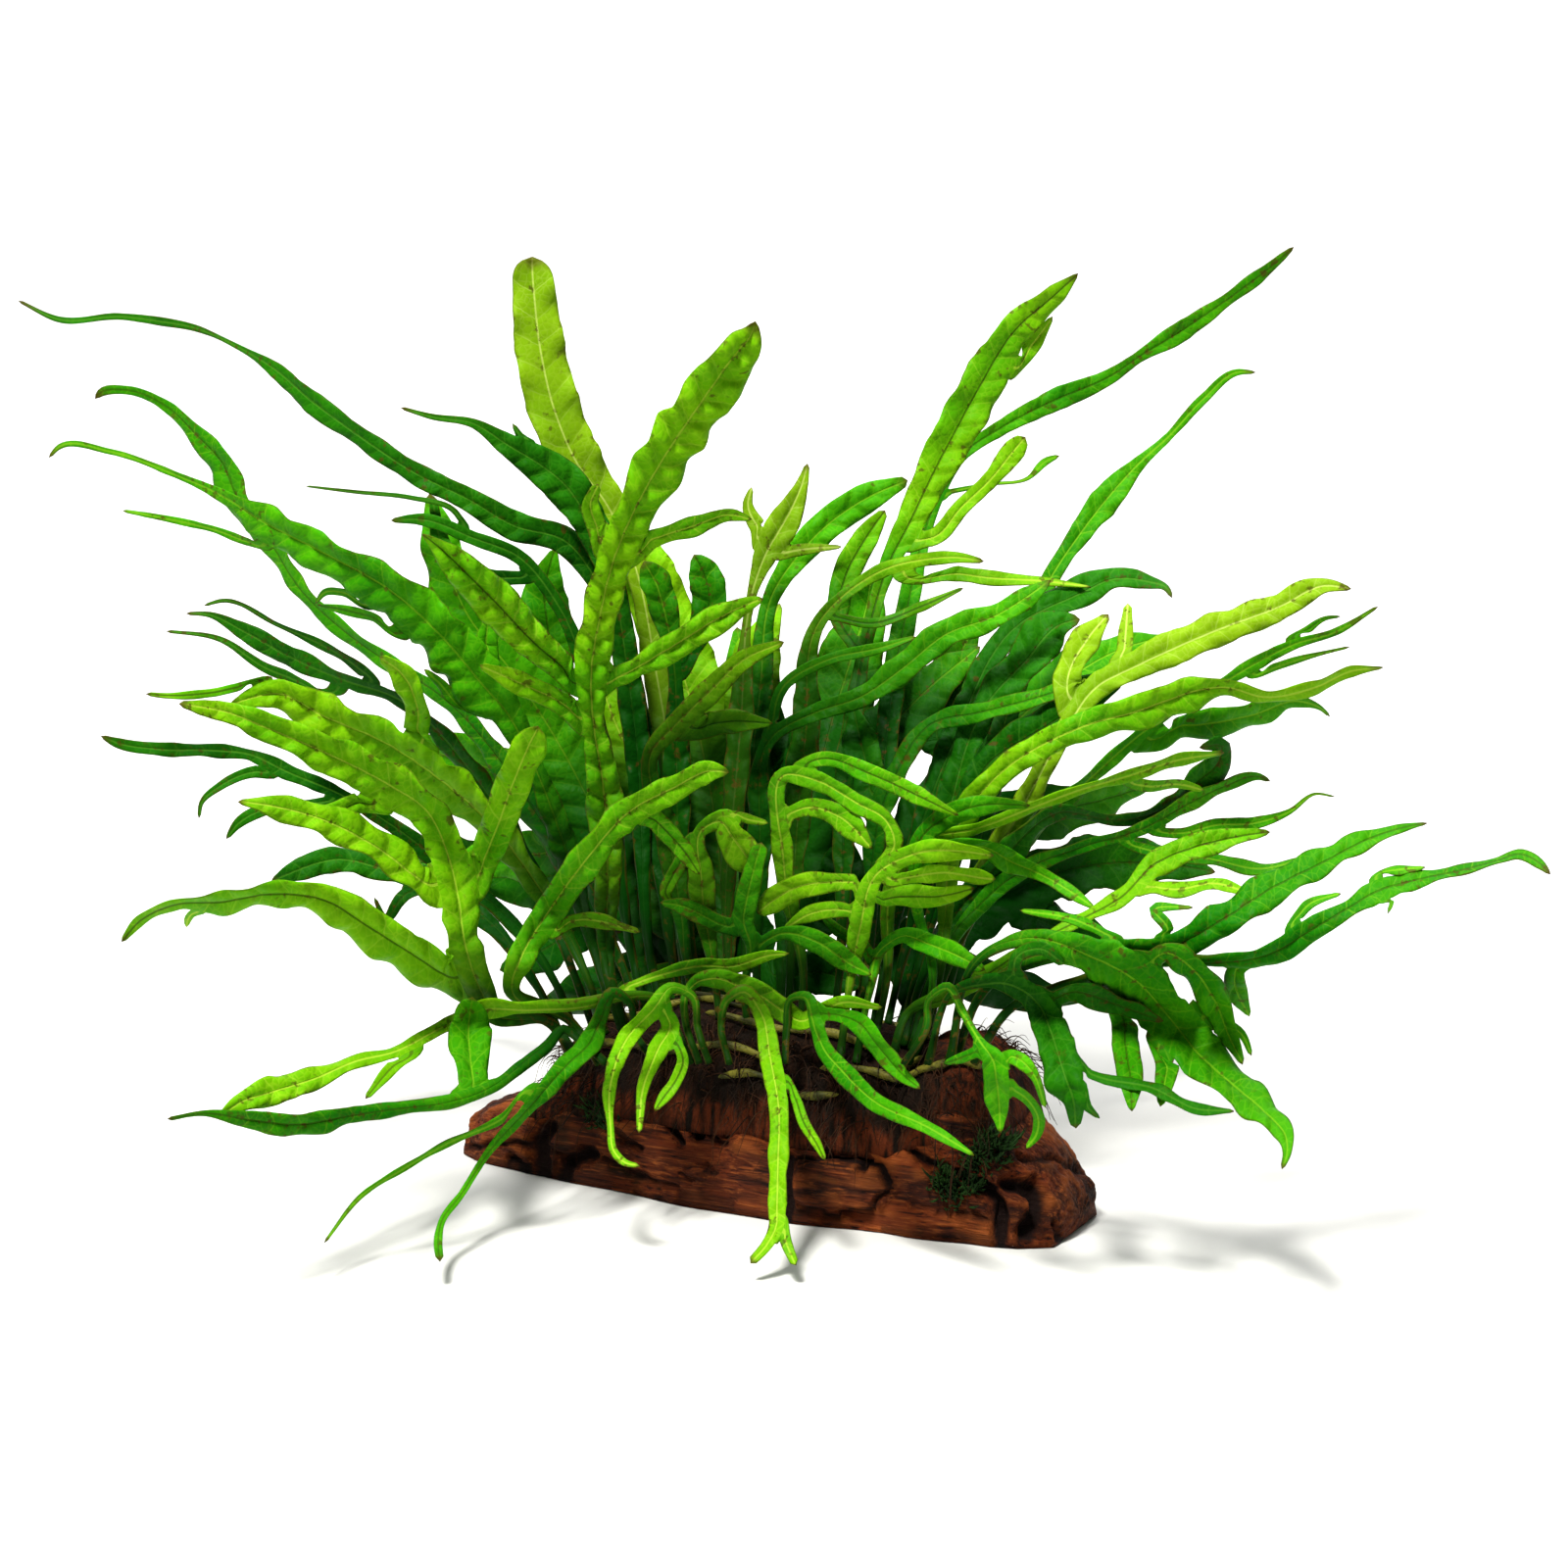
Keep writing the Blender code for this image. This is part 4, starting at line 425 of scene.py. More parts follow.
def add_mesh(name: str, vertices: np.ndarray, faces: np.ndarray, material: bpy.types.Material,
             maps: dict | None = None) -> bpy.types.Object:
    """Puts one mesh of equal-sided faces into the scene, shaded smooth, at the origin.

    Args:
        name: The piece's name.
        vertices: (n, 3) positions in metres.
        faces: (m, k) vertex numbers, counter-clockwise from outside.
        material: Its finish.
        maps: UV maps by name, each (m, k, 2).

    Returns:
        The new object.
    """
    count, sides = faces.shape
    mesh = bpy.data.meshes.new(name)
    mesh.vertices.add(len(vertices))
    mesh.vertices.foreach_set("co", np.asarray(vertices, np.float32).ravel())
    mesh.loops.add(count * sides)
    mesh.loops.foreach_set("vertex_index", faces.astype(np.int32).ravel())
    mesh.polygons.add(count)
    mesh.polygons.foreach_set("loop_start", np.arange(0, count * sides, sides, dtype=np.int32))
    mesh.polygons.foreach_set("use_smooth", np.ones(count, bool))
    mesh.update(calc_edges=True)
    for title, values in (maps or {}).items():
        layer = mesh.uv_layers.new(name=title)
        layer.uv.foreach_set("vector", np.asarray(values, np.float32).ravel())
    mesh.materials.append(material)
    made = bpy.data.objects.new(name, mesh)
    bpy.context.scene.collection.objects.link(made)
    return made


def hand_in(piece: bpy.types.Object, node: str = "") -> None:
    """Lets a piece ride on the body, hides the solid that it stands for and logs its face count.

    Args:
        piece: The piece.
        node: The CAD node that it replaces, if any.
    """
    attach(piece, BODY)
    if node:
        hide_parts(node)
    LOG.info("%s: %d faces", piece.name, len(piece.data.polygons))


def search_tree(mesh: bpy.types.Mesh) -> BVHTree:
    """A search tree of a mesh's surface."""
    return BVHTree.FromPolygons([v.co for v in mesh.vertices],
                                [tuple(f.vertices) for f in mesh.polygons])


def cell_corners(grid: np.ndarray) -> np.ndarray:
    """The corners of a grid's cells, in turn round each: (rows, columns, ...) to (cells, 4, ...)."""
    corners = np.stack([grid[:-1, :-1], grid[:-1, 1:], grid[1:, 1:], grid[1:, :-1]], axis=2)
    return corners.reshape(-1, 4, *grid.shape[2:])


def unit(vectors: np.ndarray) -> np.ndarray:
    """(..., 3) vectors made one long."""
    return vectors / np.linalg.norm(vectors, axis=-1, keepdims=True).clip(1e-12)


def surface_normals(vertices: np.ndarray, faces: np.ndarray) -> np.ndarray:
    """Unit normals at vertices: the sum of the crossed diagonals of the quads round each.

    Args:
        vertices: (n, 3) positions.
        faces: (m, 4) vertex numbers.

    Returns:
        (n, 3) unit normals.
    """
    corners = vertices[faces]
    crossed = np.cross(corners[:, 2] - corners[:, 0], corners[:, 3] - corners[:, 1])
    total = np.zeros_like(vertices)
    for corner in range(4):
        np.add.at(total, faces[:, corner], crossed)
    return unit(total)


@dataclass(frozen=True)
class FrontView:
    """The front view that sight points are read on, and the camera that looks the same way."""

    pixels: int = 1600
    width: float = 0.365
    distance: float = 1.10
    elevation: float = radians(13)
    height: float = 0.098
    sensor: float = 36.0

    @property
    def pixel(self) -> float:
        """Metres a pixel at the middle of the object."""
        return self.width / self.pixels

    @property
    def eye(self) -> np.ndarray:
        """Where the viewer stands."""
        return np.array([0, -self.distance * cos(self.elevation),
                         self.height + self.distance * sin(self.elevation)])

    @property
    def focal(self) -> float:
        """The focal length in pixels."""
        return self.pixels * self.distance / self.width

    def point(self, sight: np.ndarray, depth: np.ndarray) -> np.ndarray:
        """World points on the sight lines through view positions, where they cross a depth y.

        Args:
            sight: (..., 2) positions on the view.
            depth: (...) values of y.

        Returns:
            (..., 3) positions.
        """
        across = (sight[..., 0] - self.pixels / 2) / self.focal
        down = (sight[..., 1] - self.pixels / 2) / self.focal
        ray_y = cos(self.elevation) - down * sin(self.elevation)
        ray_z = -sin(self.elevation) - down * cos(self.elevation)
        reach = (depth - self.eye[1]) / ray_y
        return np.stack([across * reach, self.eye[1] + ray_y * reach, self.eye[2] + ray_z * reach],
                        axis=-1)

    def sight(self, points: np.ndarray) -> np.ndarray:
        """View positions of world points: the offset from the eye, turned by the elevation, over
        its depth.

        Args:
            points: (..., 3) positions.

        Returns:
            (..., 2) positions on the view.
        """
        offset = points - self.eye
        ahead = offset[..., 1] * cos(self.elevation) - offset[..., 2] * sin(self.elevation)
        upward = offset[..., 1] * sin(self.elevation) + offset[..., 2] * cos(self.elevation)
        middle = self.pixels / 2
        return np.stack([middle + self.focal * offset[..., 0] / ahead,
                         middle - self.focal * upward / ahead], axis=-1)

    def add_camera(self) -> None:
        """Places the camera at the eye, looking at the object's middle."""
        data = bpy.data.cameras.new("front_camera")
        data.sensor_width = self.sensor
        data.lens = self.sensor * self.distance / self.width
        camera = bpy.data.objects.new("front_camera", data)
        camera.location = self.eye
        camera.rotation_euler = (pi / 2 - self.elevation, 0, 0)
        bpy.context.scene.collection.objects.link(camera)
        bpy.context.scene.camera = camera


VIEW = FrontView()


@dataclass(frozen=True)
class LeafSurfaces:
    """Nested surfaces, one for each frond, that open like a book's pages away from the crown."""

    crown: tuple = (790, 1040)
    crown_foot: tuple = (790, 1085)
    crown_half_depth: float = 0.017
    end_spread: float = 0.4
    crown_reach: float = 0.090
    opening: float = 0.60
    forward_droop: float = 0.30
    roll: float = 0.14
    roll_starts: float = 0.030
    roll_waves: float = 8
    wood_turn: float = radians(-26)
    count: int = len(FRONDS)

    def crown_distance(self, sight: np.ndarray) -> np.ndarray:
        """Metres from the crown on the view, for (..., 2) positions on it."""
        return np.hypot(sight[..., 0] - self.crown[0], sight[..., 1] - self.crown[1]) * VIEW.pixel

    def depth(self, sight: np.ndarray, layers: np.ndarray) -> np.ndarray:
        """Depth y of leaf surfaces at view positions.

        depth = crown half depth * (place + end spread * place^3) + opening * place * distance
                - forward droop below the crown + a roll that grows with the distance and waves with
                the angle round the crown + the wood's slant, which fades away from the crown,
        where place runs from -1 in front to 1 behind.

        Args:
            sight: (..., 2) positions on the view.
            layers: (...) numbers of the surfaces.

        Returns:
            (...) values of y.
        """
        u = (sight[..., 0] - self.crown[0]) * VIEW.pixel
        v = (self.crown[1] - sight[..., 1]) * VIEW.pixel
        distance = np.hypot(u, v)
        angle = np.arctan2(v, u)
        place = 2 * layers / (self.count - 1) - 1
        fan = self.crown_half_depth * (place + self.end_spread * place**3)
        fan = fan + self.opening * place * distance
        droop = self.forward_droop * np.minimum(v, 0)
        wave = np.sin(self.roll_waves * angle + 3 * np.sin(2 * angle) + 20 * distance)
        roll = self.roll * distance**2 / (distance + self.roll_starts) * wave
        slant = u * tan(self.wood_turn) * np.exp(-((distance / self.crown_reach) ** 2))
        return fan + droop + roll + slant


SURFACES = LeafSurfaces()


@dataclass
class Rib:
    """A rib's points joined by a cubic Hermite curve, whose slope at each point is the mean of the
    slopes beside it, weighted by the other side's length."""

    points: tuple
    steps: int = 12
    direction_reach: float = 1.5
    curve: np.ndarray = field(init=False)
    length: np.ndarray = field(init=False)

    def __post_init__(self) -> None:
        """Works out the curve and the length at each of its points."""
        p = np.reshape(self.points, (-1, 3)).astype(float)
        gap = np.hypot(*np.diff(p[:, :2], axis=0).T)[:, None]
        slope = np.diff(p, axis=0) / gap
        inner = (slope[:-1] * gap[1:] + slope[1:] * gap[:-1]) / (gap[:-1] + gap[1:])
        slope = np.vstack([slope[:1], inner, slope[-1:]])
        t = np.linspace(0, 1, self.steps, endpoint=False)[None, :, None]
        start, end = p[:-1, None], p[1:, None]
        leave, arrive = (slope[:-1] * gap)[:, None], (slope[1:] * gap)[:, None]
        runs = (start * (2 * t**3 - 3 * t**2 + 1) + leave * (t**3 - 2 * t**2 + t)
                + end * (3 * t**2 - 2 * t**3) + arrive * (t**3 - t**2))
        self.curve = np.vstack([runs.reshape(-1, 3), p[-1:]])
        self.curve[:, 2] = np.clip(self.curve[:, 2], p[:, 2].min(), p[:, 2].max())
        step = np.hypot(*np.diff(self.curve[:, :2], axis=0).T)
        self.length = np.concatenate([[0], np.cumsum(step)])

    @property
    def total(self) -> float:
        """Its whole length in pixels."""
        return float(self.length[-1])

    def at(self, where: np.ndarray) -> tuple[np.ndarray, np.ndarray]:
        """Places and directions along the rib.

        Args:
            where: (n) lengths in pixels.

        Returns:
            (n, 3) of x, y and width, and (n, 2) unit directions.
        """
        reach = self.direction_reach
        place, ahead, behind = (
            np.stack([np.interp(spot, self.length, self.curve[:, k]) for k in range(3)], axis=1)
            for spot in (where, where + reach, where - reach))
        direction = (ahead - behind)[:, :2]
        return place, direction / np.hypot(*direction.T)[:, None]

    def hidden_by(self, parent: "Rib", clear_by: float, most: float) -> float:
        """The length at which both edges of this lobe have left its parent's blade.

        Args:
            parent: The rib it grows from.
            clear_by: How far clear the edges are, in pixels.
            most: The share of the lobe at which it counts as clear anyway.

        Returns:
            The length in pixels.
        """
        place, direction = self.at(self.length)
        across = np.stack([-direction[:, 1], direction[:, 0]], axis=1) * place[:, 2:] / 2
        clear = np.full(len(self.curve), np.inf)
        for points in (place[:, :2], place[:, :2] + across, place[:, :2] - across):
            gaps = np.linalg.norm(points[:, None] - parent.curve[None, :, :2], axis=2)
            nearest = gaps.argmin(axis=1)
            clear = np.minimum(clear, gaps.min(axis=1) - parent.curve[nearest, 2] / 2)
        return float(self.length[np.flatnonzero((clear > clear_by)
                                                | (self.length > most * self.total))[0]])


@dataclass(frozen=True)
class Lobe:
    """Where a lobe leaves its rib: its number, its side, the place along the rib, the width of its
    root there, and the length of its own rib that the blade hides."""

    child: int
    side: Side
    at: float
    width: float
    hidden: float


@dataclass
class Slot:
    """A stretch of a rib's edge that lobes grow from, on one side or on both."""

    start: float
    end: float
    lobes: dict


@dataclass
class BladeSheet:
    """The middle surface of one frond while it grows, as grids that share their edges.

    A rib's rows run across it from its right edge (-1) to its left (+1). A lobe's first row is a
    stretch of its parent's edge, and from there each column follows a cubic that leaves the edge
    squarely and arrives along the lobe, so the notch between them is round. The sizes of the
    outline are in pixels of the view, the lengths of waves and puckers in millimetres, and all
    heights in metres.
    """

    frond: Frond
    layer: float
    seed: int
    quilt: float = 1.0
    breadth: float = 1.0
    columns: int = 11
    row_step: float = 4.0
    least_root: float = 7
    least_slot: float = 6
    slot_gap: float = 2
    slot_shared: float = 0.4
    fillet: float = 2.0
    lobe_clear: float = 2.5
    lobe_most: float = 0.6
    lobe_lift: float = 0.3
    lift_reach: float = 40.0
    ripple: float = 0.075
    ripple_length: float = 26
    lobe_first: float = 0.35
    blade_width: float = 17.0
    wander_length: float = 17
    wander_reach: float = 2.2
    wave_length: float = 13
    wave_share: float = 0.24
    calm_beside_lobe: float = 14
    pucker_spacing: float = 6.2
    pucker_height: float = 0.00075
    puckered_from: float = 0.0012
    puckered_over: float = 0.003
    roll_length: float = 47
    groove_depth: float = 0.00035
    groove_width: float = 0.16
    skin_height: float = 0.00016
    rib_height: float = 0.00018
    rib_swell: float = 0.00045
    rib_share: float = 0.17
    notch_rim: float = 4
    calm_at_crown: float = 0.25
    calm_reach: float = 0.05
    kept: dict = field(default_factory=dict)
    count: int = 0

    def grow(self) -> None:
        """Grows the main rib and, from its edges, every lobe."""
        self.ribs = [Rib(points) for points in self.frond.ribs]
        self.across = np.linspace(-1, 1, self.columns)
        self.find_lobes()
        self.grow_rib(0, None, 0.0, np.zeros(self.columns))

    def keep(self, **grids: np.ndarray) -> None:
        """Keeps a rib's grids by name, for the skin to join."""
        for name, values in grids.items():
            self.kept.setdefault(name, []).append(values)

    def find_lobes(self) -> None:
        """Lists for each rib the lobes that leave it. A lobe's parent is the earlier rib nearest its
        base, and its root lies midway between that base and the place where it comes clear."""
        self.lobes = [[] for _ in self.ribs]
        for child in range(1, len(self.ribs)):
            rib = self.ribs[child]
            base = rib.curve[0, :2]
            gaps = [np.hypot(*(self.ribs[k].curve[:, :2] - base).T).min() for k in range(child)]
            parent = self.ribs[int(np.argmin(gaps))]
            hidden = rib.hidden_by(parent, self.lobe_clear, self.lobe_most)
            emerges = rib.at(np.array([hidden]))[0][0]
            root = (base + emerges[:2]) / 2
            nearest = int(np.argmin(np.hypot(*(parent.curve[:, :2] - root).T)))
            direction = parent.at(parent.length[nearest:nearest + 1])[1][0]
            out = emerges[:2] - parent.curve[nearest, :2]
            side = Side.LEFT if direction[0] * out[1] - direction[1] * out[0] > 0 else Side.RIGHT
            width = max(rib.curve[0, 2], emerges[2] * 0.8, self.least_root) * self.fillet
            lobe = Lobe(child, side, float(parent.length[nearest]), float(width), hidden)
            self.lobes[int(np.argmin(gaps))].append(lobe)

    def slots_of(self, number: int, begin: float) -> list[Slot]:
        """The stretches of a rib's edge that its lobes grow from, kept apart and inside the rib.

        Args:
            number: The rib's number.
            begin: The length at which its own rows start.

        Returns:
            The slots in order along the rib.
        """
        slots = []
        total = self.ribs[number].total
        for lobe in sorted(self.lobes[number], key=lambda one: one.at):
            start, end = lobe.at - lobe.width / 2, lobe.at + lobe.width / 2
            shared = slots and start < slots[-1].end - self.slot_shared * lobe.width
            if shared and lobe.side not in slots[-1].lobes:
                slots[-1].lobes[lobe.side] = lobe
                continue
            if slots:
                start = max(start, slots[-1].end + self.slot_gap)
                end = max(end, start + self.least_slot)
            slots.append(Slot(max(start, begin + self.slot_gap), end, {lobe.side: lobe}))
        over = slots[-1].end - total + self.slot_gap if slots else 0
        if over > 0:
            slots[-1].start -= over
            slots[-1].end -= over
        return [slot for slot in slots if slot.end > begin + self.slot_gap]

    def rows_of(self, slots: list[Slot], begin: float, total: float) -> np.ndarray:
        """Lengths of the rows: columns - 1 even steps in each slot, about row_step elsewhere.

        Args:
            slots: The rib's slots.
            begin: Where its own rows start.
            total: Its whole length.

        Returns:
            The lengths in pixels.
        """
        marks = sorted({begin, total, *(s.start for s in slots), *(s.end for s in slots)})
        runs = [np.array([begin])]
        for first, last in zip(marks, marks[1:]):
            inside = any(s.start <= first and last <= s.end for s in slots)
            steps = self.columns - 1 if inside else max(1, round((last - first) / self.row_step))
            runs.append(np.linspace(first, last, steps + 1)[1:])
        return np.concatenate(runs)

    def half_width(self, where: np.ndarray, width: np.ndarray, number: int) -> np.ndarray:
        """Half the blade's width: the rib's own, with a wavy outline, rounded off at a blunt tip.

        The tip's factor is sqrt(1 - ((s - (L - r)) / r)^2) over the last r = half the last width.

        Args:
            where: (n) lengths along the rib.
            width: (n) widths there.
            number: The rib's number.

        Returns:
            (n) half widths in pixels.
        """
        total = self.ribs[number].total
        tip = max(self.ribs[number].curve[-1, 2] / 2, 2.0)
        past = np.clip((where - (total - tip)) / tip, 0, 1)
        line = np.stack([where / self.ripple_length, np.full_like(where, self.seed + 0.37),
                         np.full_like(where, number + 0.71)], axis=1)
        fine = line * np.array([3.1, 1, 1]) + 9.0
        wavy = 1 + self.ripple * (value_noise(line, 3) + 0.8 * value_noise(fine, 5))
        return self.breadth * width / 2 * np.sqrt(1 - past**2).clip(0.06) * wavy

    def relief(self, where: np.ndarray, half: np.ndarray, slots: list[Slot],
               number: int) -> tuple[np.ndarray, np.ndarray]:
        """How far the blade stands off its middle surface, in metres.

        height = fold of the halves (|t| - 0.35 t^2) + puckers between the side veins, which follow
        (1 - cos^4(pi (v / spacing - 0.35 |t|))) sin(pi |t|) + waves of the margin, |t|^2 sin(v),
        faded where a lobe leaves - the groove over the midrib, with t across the blade and v along.

        Args:
            where: (n) lengths along the rib in pixels.
            half: (n) half widths in pixels.
            slots: The rib's slots.
            number: The rib's number.

        Returns:
            (n, columns) heights, and how free of lobes the blade is there, 0 to 1.
        """
        t = self.across[None, :]
        v = (where * VIEW.pixel / MILLIMETRE)[:, None]
        size = (half * VIEW.pixel)[:, None]
        phase = self.seed * 1.7 + number * 2.3
        broad = smoothstep((size - self.puckered_from) / self.puckered_over)
        line = np.stack([v / self.wander_length, np.full_like(v, phase), np.full_like(v, 0.3)],
                        axis=-1)[..., 0, :]
        wander = self.wander_reach * value_noise(line, 11)[:, None]
        free = np.ones((len(where), self.columns))
        for slot in slots:
            away = np.maximum(np.maximum(slot.start - where, where - slot.end), 0)
            hold = smoothstep(away / self.calm_beside_lobe)
            for side in slot.lobes:
                free[:, t[0] * side.value > 0.3] *= hold[:, None]
        waves = np.sin(v * 2 * pi / self.wave_length + phase + wander + 1.4 * np.sign(t)) * t**2
        margin = self.wave_share * size * waves * free
        puckers = np.cos(pi * (v / self.pucker_spacing - 0.35 * np.abs(t) + 0.2 * wander)) ** 4
        puckers = (1 - puckers) * np.sin(pi * np.abs(t)).clip(0) * broad
        puckers = puckers * self.pucker_height * self.quilt
        roll = np.sin(v * 2 * pi / self.roll_length + 1.3 * phase)
        sag = size * (0.14 + 0.20 * roll) * (np.abs(t) - 0.35 * t**2)
        groove = -self.groove_depth * broad * np.exp(-((t / self.groove_width) ** 2))
        ease = smoothstep(where / np.maximum(1.2 * half.max(), 1))[:, None]
        ease = ease if number else np.ones_like(ease)
        return (margin + puckers + sag + groove) * ease, free

    def thickness(self, where: np.ndarray, half: np.ndarray, number: int) -> tuple:
        """How far the skin stands over and under the middle surface, in metres.

        A blade is thin, thinner to its margin, with a rounded midrib under it. The stalk below the
        blade is an ellipse: 0.75 * half width * sqrt(1 - t^2).

        Args:
            where: (n) lengths along the rib in pixels.
            half: (n) half widths in pixels.
            number: The rib's number.

        Returns:
            Two (n, columns) arrays, above and below.
        """
        t = self.across[None, :]
        size = (half * VIEW.pixel)[:, None]
        wide = self.ribs[number].curve[:, 2] > self.blade_width
        first = self.ribs[number].length[int(np.argmax(wide))] if wide.any() else 0.0
        first = first if number == 0 and first > 0 else 0.25 * self.ribs[number].total
        stalk = (1 - smoothstep((where - 0.75 * first) / (0.35 * first + 1)))[:, None]
        stalk = stalk if number == 0 else np.zeros_like(stalk)
        rounded = 0.75 * size * np.sqrt(1 - t**2).clip(0.06)
        blade = self.skin_height * (1 - 0.6 * t**4) * np.ones_like(size)
        taper = (1 - where / self.ribs[number].total)[:, None]
        rib = (self.rib_height + self.rib_swell * taper) * np.minimum(size / 0.003, 1)
        rib = rib * np.exp(-((t / self.rib_share) ** 2))
        above = blade + (rounded - blade).clip(0) * stalk
        below = blade + rib + (rounded - blade - rib).clip(0) * stalk
        return above, below

    def grow_rib(self, number: int, edge: tuple | None, begin: float,
                 lift: np.ndarray) -> None:
        """Adds one rib's grid and then the lobes on it.

        Args:
            number: The rib's number.
            edge: The parent's edge: vertex numbers, view positions and outward direction, or None.
            begin: The length that the parent's blade hides.
            lift: (columns) how far the parent lies off the frond's leaf surface at that edge.
        """
        rib = self.ribs[number]
        slots = self.slots_of(number, begin)
        where = self.rows_of(slots, begin, rib.total)
        place, direction = rib.at(where)
        half = self.half_width(where, place[:, 2], number)
        sideways = np.stack([-direction[:, 1], direction[:, 0]], axis=1)
        sight = place[:, None, :2] + sideways[:, None] * (half[:, None] * self.across)[..., None]
        if edge is not None:
            numbers, from_sight, outward = edge
            gap = np.hypot(*(sight[0] - from_sight).mean(axis=0))
            steps = max(3, round(gap / self.row_step) + 1)
            s = np.linspace(0, 1, steps + 1)[1:-1][:, None, None]
            joined = (from_sight * (2 * s**3 - 3 * s**2 + 1) + outward * gap * (s**3 - 2 * s**2 + s)
                      + sight[0] * (3 * s**2 - 2 * s**3) + direction[0] * gap * (s**3 - s**2))
            sight = np.concatenate([joined, sight])
            where = np.concatenate([begin * s[:, 0, 0], where])
            half = np.concatenate([np.full(steps - 1, half[0]), half])
        turn = self.lobe_lift * (1 if number % 2 else -1) * (number > 0)
        share = np.minimum(where / self.lift_reach, 1)[:, None]
        lifts = lift[None, :] * (1 - share) + turn * share
        above, below = self.thickness(where, half, number)
        height, free = self.relief(where, half, slots, number)
        fresh = np.arange(self.count, self.count + sight[..., 0].size).reshape(sight.shape[:2])
        self.count += fresh.size
        self.keep(sight=sight.reshape(-1, 2), layers=(self.layer + lifts).ravel(),
                  height=height.ravel(), above=above.ravel(), below=below.ravel())
        millimetres = VIEW.pixel / MILLIMETRE
        blade = np.stack([self.across * half[:, None] * millimetres,
                          np.broadcast_to(where[:, None] * millimetres, fresh.shape)], axis=-1)
        first = 0.0 if number == 0 else self.lobe_first
        travelled = np.broadcast_to((first + (1 - first) * where / rib.total)[:, None], fresh.shape)
        tag = (self.seed * 0.137 + number * 0.31) % 1.0
        placed = np.stack([travelled, np.full(fresh.shape, tag)], axis=-1)
        inward = (1 - np.abs(self.across)) * half[:, None] * millimetres
        rim = np.stack([inward + self.notch_rim * (1 - free),
                        np.broadcast_to(half[:, None] * millimetres, free.shape)], axis=-1)
        if edge is not None:
            fresh = np.concatenate([numbers[None], fresh])
            blade = np.concatenate([blade[:1] * np.array([1, 0]), blade])
            placed = np.concatenate([placed[:1], placed])
            rim = np.concatenate([rim[:1], rim])
        self.keep(quads=cell_corners(fresh), Blade=cell_corners(blade),
                  Place=cell_corners(placed), Rim=cell_corners(rim))
        shift = len(fresh) - len(sight)
        own = len(where) - len(place)
        for slot in slots:
            first = own + int(np.argmin(np.abs(where[own:] - slot.start)))
            rows = np.arange(first, first + self.columns)
            for side, lobe in slot.lobes.items():
                column = self.columns - 1 if side is Side.LEFT else 0
                order = rows[::-1] if side is Side.LEFT else rows
                outward = sideways[rows - own].mean(axis=0) * side.value
                self.grow_rib(lobe.child, (fresh[order + shift, column], sight[order, column],
                                           outward / np.hypot(*outward)),
                              lobe.hidden, lifts[order, column])

    def skin(self) -> tuple[np.ndarray, np.ndarray, dict]:
        """The closed skin: the middle surface raised by its relief, copied to both sides at its
        thickness, with a strip round every free edge.

        Returns:
            Vertices, quads, and the UV maps Blade (millimetres off the midrib and along it),
            Place (share of the way to the tip, and the rib's own number from 0 to 1) and Rim
            (millimetres in from the margin, and half the blade's width).
        """
        grids = {name: np.concatenate(values) for name, values in self.kept.items()}
        sight, quads = grids["sight"], grids["quads"]
        middle = VIEW.point(sight, SURFACES.depth(sight, grids["layers"]))
        far = smoothstep(SURFACES.crown_distance(sight) / self.calm_reach)
        share = self.calm_at_crown + (1 - self.calm_at_crown) * far
        normals = surface_normals(middle, quads)
        middle = middle + normals * (grids["height"] * share)[:, None]
        normals = surface_normals(middle, quads)
        upper = middle + normals * grids["above"][:, None]
        lower = middle - normals * grids["below"][:, None]
        edges = np.concatenate([np.stack([quads[:, k], quads[:, (k + 1) % 4]], axis=1)
                                for k in range(4)])
        order = np.sort(edges, axis=1)
        _, first, uses = np.unique(order[:, 0] * self.count + order[:, 1], return_index=True,
                                   return_counts=True)
        free = first[uses == 1]
        a, b = edges[free].T
        rim = np.stack([b, a, a + self.count, b + self.count], axis=1)
        corner, face = free // len(quads), free % len(quads)
        maps = {}
        for title in ("Blade", "Place", "Rim"):
            values = grids[title]
            at_a, at_b = values[face, corner], values[face, (corner + 1) % 4]
            strip = np.stack([at_b, at_a, at_a, at_b], axis=1)
            maps[title] = np.concatenate([values, values[:, ::-1], strip])
        faces = np.concatenate([quads, quads[:, ::-1] + self.count, rim])
        return np.concatenate([upper, lower]), faces, maps


